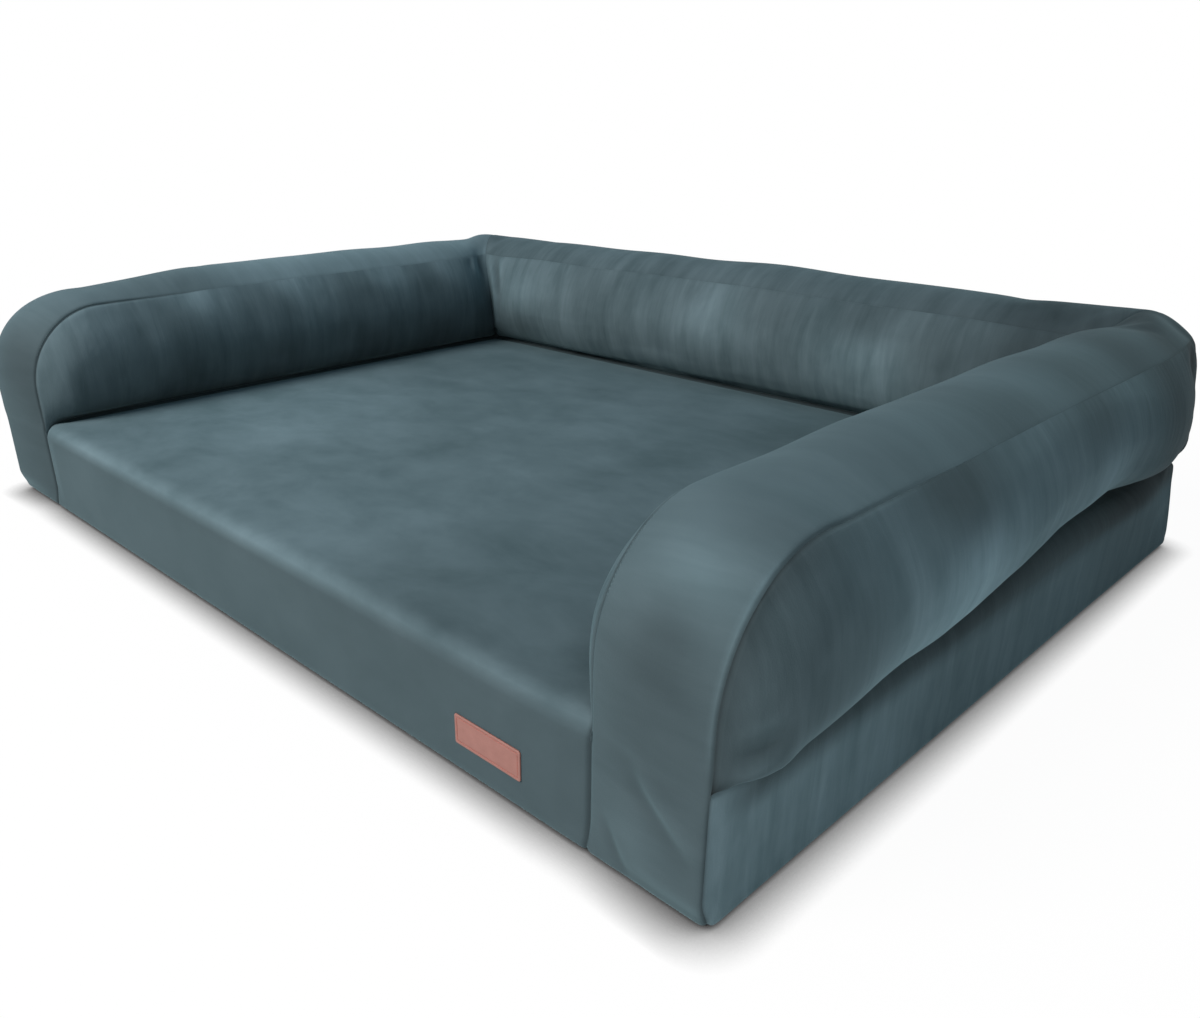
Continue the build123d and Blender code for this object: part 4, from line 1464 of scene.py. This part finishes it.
def studio_paper():
    """Matte white studio paper that keeps the shadow round the object and is plain white further off."""
    material, tree, output = new_material("matte_studio_paper")
    seen = seen_rays(tree)
    distance = add_node(tree, "ShaderNodeVectorMath", {0: object_place(tree)}, operation="LENGTH")
    far = add_node(
        tree, "ShaderNodeMapRange", {"Value": distance.outputs["Value"]}, interpolation_type="SMOOTHSTEP",
        inputs={"From Min": 0.85, "From Max": 1.5, "To Min": 0.97, "To Max": 1.0},
    )
    share = combined(tree, "MULTIPLY", far.outputs["Result"], seen)
    tone = mixed_tone(tree, seen, "c8c8c8", "f4f4f4")
    paper = add_node(tree, "ShaderNodeBsdfDiffuse", {"Color": tone})
    # Painted contact shadow: the paper that the camera sees glows white, darkened by ambient occlusion close
    # to the bed
    contact = add_node(tree, "ShaderNodeAmbientOcclusion", samples=8, inputs={"Distance": 0.036})
    dark = combined(tree, "POWER", contact.outputs["AO"], 1.9)
    white = add_node(tree, "ShaderNodeEmission", {"Strength": dark})
    whole = add_node(tree, "ShaderNodeMixShader", {0: share, 1: paper.outputs[0], 2: white.outputs[0]})
    tree.links.new(whole.outputs[0], output.inputs["Surface"])
    return material


def lay_floor():
    """Pale floor, which is no part of the bed."""
    material = studio_paper()
    bpy.ops.mesh.primitive_plane_add(size=FLOOR_SIZE)
    floor = bpy.context.object
    floor.name = "floor"
    floor.data.materials.append(material)


def studio_sky():
    """World that lights from above, warm low down and cool overhead, and that the camera sees as white."""
    world = bpy.data.worlds.new("studio")
    world.use_nodes = True
    sky = world.node_tree
    sky.nodes.clear()
    way = add_node(sky, "ShaderNodeTexCoord").outputs["Generated"]
    way = add_node(sky, "ShaderNodeSeparateXYZ", {0: way})
    dome = add_node(
        sky, "ShaderNodeMapRange", {"Value": way.outputs["Z"]},
        inputs={"From Min": -0.1, "To Min": 0.04, "To Max": 0.44},
    )
    strength = add_node(
        sky, "ShaderNodeMapRange", {"Value": seen_rays(sky), "To Min": dome.outputs["Result"]},
        inputs={"To Max": 1.0},
    )
    height = add_node(sky, "ShaderNodeMapRange", {"Value": way.outputs["Z"]})
    air = mixed_tone(sky, height.outputs["Result"], "fff2e6", "9cd8ff")
    air = mixed_tone(sky, seen_rays(sky), air, "ffffff")
    light = add_node(sky, "ShaderNodeBackground", {"Color": air, "Strength": strength.outputs["Result"]})
    add_node(sky, "ShaderNodeOutputWorld", {"Surface": light.outputs[0]})
    return world


def hang_lamp(name, place, size, power, tint):
    """Square lamp at a place, turned towards the middle of the floor."""
    lamp = bpy.data.lights.new(name, "AREA")
    lamp.shape = "SQUARE"
    lamp.size = size
    lamp.energy = power
    lamp.color = tint
    hung = put_in_scene(name, lamp)
    hung.location = place
    hung.rotation_euler = (-Vector(place)).to_track_quat("-Z", "Y").to_euler()


def fitted_camera():
    """Camera that looks at the bed as the photograph does."""
    camera = bpy.data.cameras.new("camera")
    camera.lens = CAMERA_LENS
    camera.shift_x, camera.shift_y = CAMERA_SHIFT
    placed = put_in_scene("camera", camera)
    placed.location = CAMERA_PLACE
    look = Euler((math.radians(90 - CAMERA_DOWN), 0, math.radians(CAMERA_HEADING)))
    roll = Euler((0, 0, math.radians(CAMERA_ROLL)))
    placed.rotation_euler = (look.to_matrix() @ roll.to_matrix()).to_euler()
    return placed


class BED_OT_stage(bpy.types.Operator):
    """Pale floor, soft lights and the camera"""

    bl_idname = "bed.stage"
    bl_label = "Stage, lights and camera"

    def execute(self, context):
        context.scene.view_settings.view_transform = "Standard"
        lay_floor()
        context.scene.world = studio_sky()
        for lamp in LAMPS:
            hang_lamp(*lamp)
        context.scene.camera = fitted_camera()
        return {"FINISHED"}


class BED_OT_cover(bpy.types.Operator):
    """Velour panels of the arms, the back, the base sides and the mattress"""

    bl_idname = "bed.cover"
    bl_label = "Velour cover"

    def execute(self, context):
        for name, (panel, _) in shaped_cover().items():
            piece = cloth_piece(name, 1 if name == "mattress_panel" else 2)
            dressed(piece, name)
        return {"FINISHED"}


class BED_OT_stitching(bpy.types.Operator):
    """Topstitching along the arms' inner seams and along both sides of the zip"""

    bl_idname = "bed.stitching"
    bl_label = "Topstitching"

    def execute(self, context):
        lines = []
        for side in ("right", "left"):
            seam = FINISHED_GRIDS[f"{side}_arm_strip"][:, SEAM_COLUMN]
            lines.append(seam[(seam[:, 2] > STITCH_FOOT) & (seam[:, 1] < STITCH_END)])
        for panel, column in (("rear_lower_panel", -1 - ZIP_COLUMN), ("rear_upper_panel", ZIP_COLUMN)):
            seam = FINISHED_GRIDS[panel][:, column]
            lines.append(seam[np.abs(seam[:, 0]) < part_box("zip_upper_tape")[1].x])
        points, edges = [], []
        for line in lines:
            edges += [(len(points) + at, len(points) + at + 1) for at in range(len(line) - 1)]
            points += line.tolist()
        stitches = made_by(stitch_tree(cover_thread()), "cover_stitches", points, edges, COVER_STITCH)
        thread = put_in_scene("cover_stitches", stitches)
        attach(thread, "bed")
        return {"FINISHED"}


class BED_OT_fillings(bpy.types.Operator):
    """Fibre fillings of the three bolsters"""

    bl_idname = "bed.fillings"
    bl_label = "Bolster fillings"

    def execute(self, context):
        for node, names in (
            ("right_bolster_filling", ("right_arm_strip", "right_arm_outer_panel", "right_arm_inner_panel")),
            ("left_bolster_filling", ("left_arm_strip", "left_arm_outer_panel", "left_arm_inner_panel")),
            ("back_bolster_filling", ("back_top_strip", "back_outer_panel", "back_inner_panel")),
        ):
            mesh = remade(bolster_core(names), **FIBRE_FORM, seed=len(node))
            mesh.materials.append(fibre())
            piece = put_in_scene(node + "_fibre", mesh)
            dressed(piece, node)
        return {"FINISHED"}


class BED_OT_foams(bpy.types.Operator):
    """Firm base foam and the soft layer on it"""

    bl_idname = "bed.foams"
    bl_label = "Foam layers"

    def execute(self, context):
        for node, material, seed in (("base_foam", base_foam(), 3), ("comfort_foam", comfort_foam(), 5)):
            mesh = remade(merged_copy(node), **FOAM_FORM, seed=seed)
            mesh.materials.append(material)
            piece = put_in_scene(node + "_slab", mesh)
            dressed(piece, node)
        return {"FINISHED"}


class BED_OT_linings(bpy.types.Operator):
    """Lining cloths that close the bolsters above the foam"""

    bl_idname = "bed.linings"
    bl_label = "Linings"

    def execute(self, context):
        low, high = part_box("right_lining")
        x = spread(low.x + LINING_TUCK, high.x - LINING_TUCK, LINING_CELL)[None, :]
        along = np.linspace(0, 1, LINING_ROWS + 1)[:, None]
        end = REAR - (OUTER - x)
        y = low.y + LINING_TUCK + (end - low.y - LINING_TUCK) * along
        for node, way in (("right_lining", 1), ("left_lining", -1)):
            points = stacked(way * x, y, (low.z + high.z) / 2)
            waves = lumps(points.reshape(-1, 3), LINING_WAVE, seed=7)
            points[..., 2] += LINING_RISE * waves.reshape(y.shape)
            piece = grid_piece(node, points, (0, 0, 1), lining_cloth(), LINING_THICKNESS)
            dressed(piece, node)
        low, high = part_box("back_lining")
        y = spread(low.y + LINING_TUCK, high.y - LINING_TUCK, LINING_CELL)[:, None]
        half = OUTER - (REAR - y)
        x = half * np.linspace(-1, 1, BACK_LINING_ROWS + 1)[None, :]
        points = stacked(x, y, (low.z + high.z) / 2)
        piece = grid_piece("back_lining", points, (0, 0, 1), lining_cloth(), LINING_THICKNESS)
        dressed(piece, "back_lining")
        return {"FINISHED"}


class BED_OT_underside(bpy.types.Operator):
    """Underside cloth with its printed grip dots"""

    bl_idname = "bed.underside"
    bl_label = "Underside"

    def execute(self, context):
        low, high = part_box("underside_panel")
        x = spread(low.x + UNDERSIDE_TUCK, high.x - UNDERSIDE_TUCK, UNDERSIDE_CELL)[None, :]
        y = spread(low.y + UNDERSIDE_TUCK, high.y - UNDERSIDE_TUCK, UNDERSIDE_CELL)[:, None]
        points = stacked(x, y, DOT_HEIGHT)
        piece = grid_piece("underside_panel", points, (0, 0, -1), underside_cloth(), high.z - DOT_HEIGHT)
        dressed(piece, "underside_panel")
        dots_x = np.arange(low.x + DOT_PITCH, high.x - DOT_PITCH / 2, DOT_PITCH)
        dots_y = np.arange(low.y + DOT_PITCH, high.y - DOT_PITCH / 2, DOT_PITCH)
        places = [(x, y, DOT_HEIGHT / 2) for y in dots_y for x in dots_x]
        sizes = {"Radius": DOT_RADIUS, "Height": DOT_HEIGHT}
        mesh = made_by(dot_tree(grip_pvc()), "underside_grip_dots", places, [], sizes)
        dots = put_in_scene("underside_grip_dots", mesh)
        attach(dots, "bed")
        return {"FINISHED"}


def label_ring(inset, y):
    """Closed line round the label at an inset from its edge, with rounded corners."""
    low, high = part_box("label_patch")
    middle = (low + high) / 2
    half_x, half_z = (high.x - low.x) / 2, (high.z - low.z) / 2
    radius = max(LABEL_CORNER - inset, LABEL_LEAST_CORNER)
    points = []
    for turn, (side, up) in enumerate(((1, 1), (-1, 1), (-1, -1), (1, -1))):
        corner_x = middle.x + side * (half_x - inset - radius)
        corner_z = middle.z + up * (half_z - inset - radius)
        for step in range(LABEL_CORNER_STEPS + 1):
            angle = math.radians(90 * turn + 90 / LABEL_CORNER_STEPS * step)
            points.append((corner_x + radius * math.cos(angle), y, corner_z + radius * math.sin(angle)))
    return points


def ring_mesh(name, rings):
    """Closed smooth mesh through rings with equal counts of points, capped at both ends."""
    body = bmesh.new()
    loops = [[body.verts.new(point) for point in ring] for ring in rings]
    for near, far in zip(loops, loops[1:]):
        for at in range(len(near)):
            after = (at + 1) % len(near)
            body.faces.new((near[at], near[after], far[after], far[at]))
    body.faces.new(loops[-1])
    body.faces.new(loops[0][::-1])
    bmesh.ops.recalc_face_normals(body, faces=body.faces)
    mesh = bpy.data.meshes.new(name)
    body.to_mesh(mesh)
    body.free()
    mesh.shade_smooth()
    return mesh


class BED_OT_label(bpy.types.Operator):
    """Bare faux-leather label with its stitched border"""

    bl_idname = "bed.label"
    bl_label = "Label"

    def execute(self, context):
        low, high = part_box("label_patch")
        rings = [label_ring(0, high.y)]
        rings += [label_ring(inset * MM, low.y + depth * MM) for inset, depth in LABEL_RINGS]
        mesh = ring_mesh("label_patch_leather", rings)
        mesh.materials.append(label_leather())
        piece = put_in_scene("label_patch_leather", mesh)
        dressed(piece, "label_patch")
        line = label_ring(LABEL_SEAM[0], low.y + LABEL_SEAM[1])
        edges = [(at, (at + 1) % len(line)) for at in range(len(line))]
        stitches = made_by(stitch_tree(label_thread()), "label_stitches", line, edges, LABEL_STITCH)
        thread = put_in_scene("label_stitches", stitches)
        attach(thread, "bed")
        return {"FINISHED"}


class BED_OT_zip(bpy.types.Operator):
    """Zip tapes, their coils, and the finish of the stops, the slider and its pull"""

    bl_idname = "bed.zip"
    bl_label = "Zip"

    def execute(self, context):
        for half in ("upper", "lower"):
            low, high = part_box(f"zip_{half}_tape")
            x = spread(low.x, high.x, TAPE_CELL_LENGTH)[:, None]
            z = spread(low.z, high.z, TAPE_CELL_WIDTH)[None, :]
            points = stacked(x, high.y, z)
            tape = grid_piece(f"zip_{half}_tape", points, (0, 1, 0), zip_cloth(), high.y - low.y)
            dressed(tape, f"zip_{half}_tape")
            low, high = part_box(f"zip_{half}_coil")
            middle = (low + high) / 2
            ends = (low.x + COIL_END, high.x - COIL_END)
            line = [(end, middle.y, middle.z) for end in ends]
            sizes = {"Length": high.z - low.z, "Depth": high.y - low.y, **TOOTH}
            teeth = made_by(tooth_tree(zip_nylon()), f"zip_{half}_coil_teeth", line, [(0, 1)], sizes)
            coil = put_in_scene(f"zip_{half}_coil_teeth", teeth)
            dressed(coil, f"zip_{half}_coil")
        for node in ("zip_stops", "zip_slider", "zip_pull"):
            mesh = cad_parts[node].data
            mesh.materials.clear()
            mesh.materials.append(zip_metal())
        return {"FINISHED"}


class BED_PT_panel(bpy.types.Panel):
    """Lists the bed's operators"""

    bl_idname = "BED_PT_panel"
    bl_label = "Pet bed"
    bl_space_type = "VIEW_3D"
    bl_region_type = "UI"
    bl_category = "Pet bed"

    def draw(self, context):
        for step in STEPS:
            self.layout.operator(step.bl_idname)


STEPS = (
    BED_OT_stage, BED_OT_cover, BED_OT_stitching, BED_OT_fillings, BED_OT_foams, BED_OT_linings,
    BED_OT_underside, BED_OT_label, BED_OT_zip,
)
CLASSES = (BedSizes, BedColours, *STEPS, BED_PT_panel)


def register():
    for each in CLASSES:
        bpy.utils.register_class(each)
    bpy.types.Scene.bed_sizes = PointerProperty(type=BedSizes)
    bpy.types.Scene.bed_colours = PointerProperty(type=BedColours)


def unregister():
    del bpy.types.Scene.bed_sizes
    del bpy.types.Scene.bed_colours
    for each in reversed(CLASSES):
        bpy.utils.unregister_class(each)


def main():
    register()
    bpy.ops.bed.stage()
    bpy.ops.bed.cover()
    bpy.ops.bed.stitching()
    bpy.ops.bed.fillings()
    bpy.ops.bed.foams()
    bpy.ops.bed.linings()
    bpy.ops.bed.underside()
    bpy.ops.bed.label()
    bpy.ops.bed.zip()


if __name__ == "__main__":
    main()
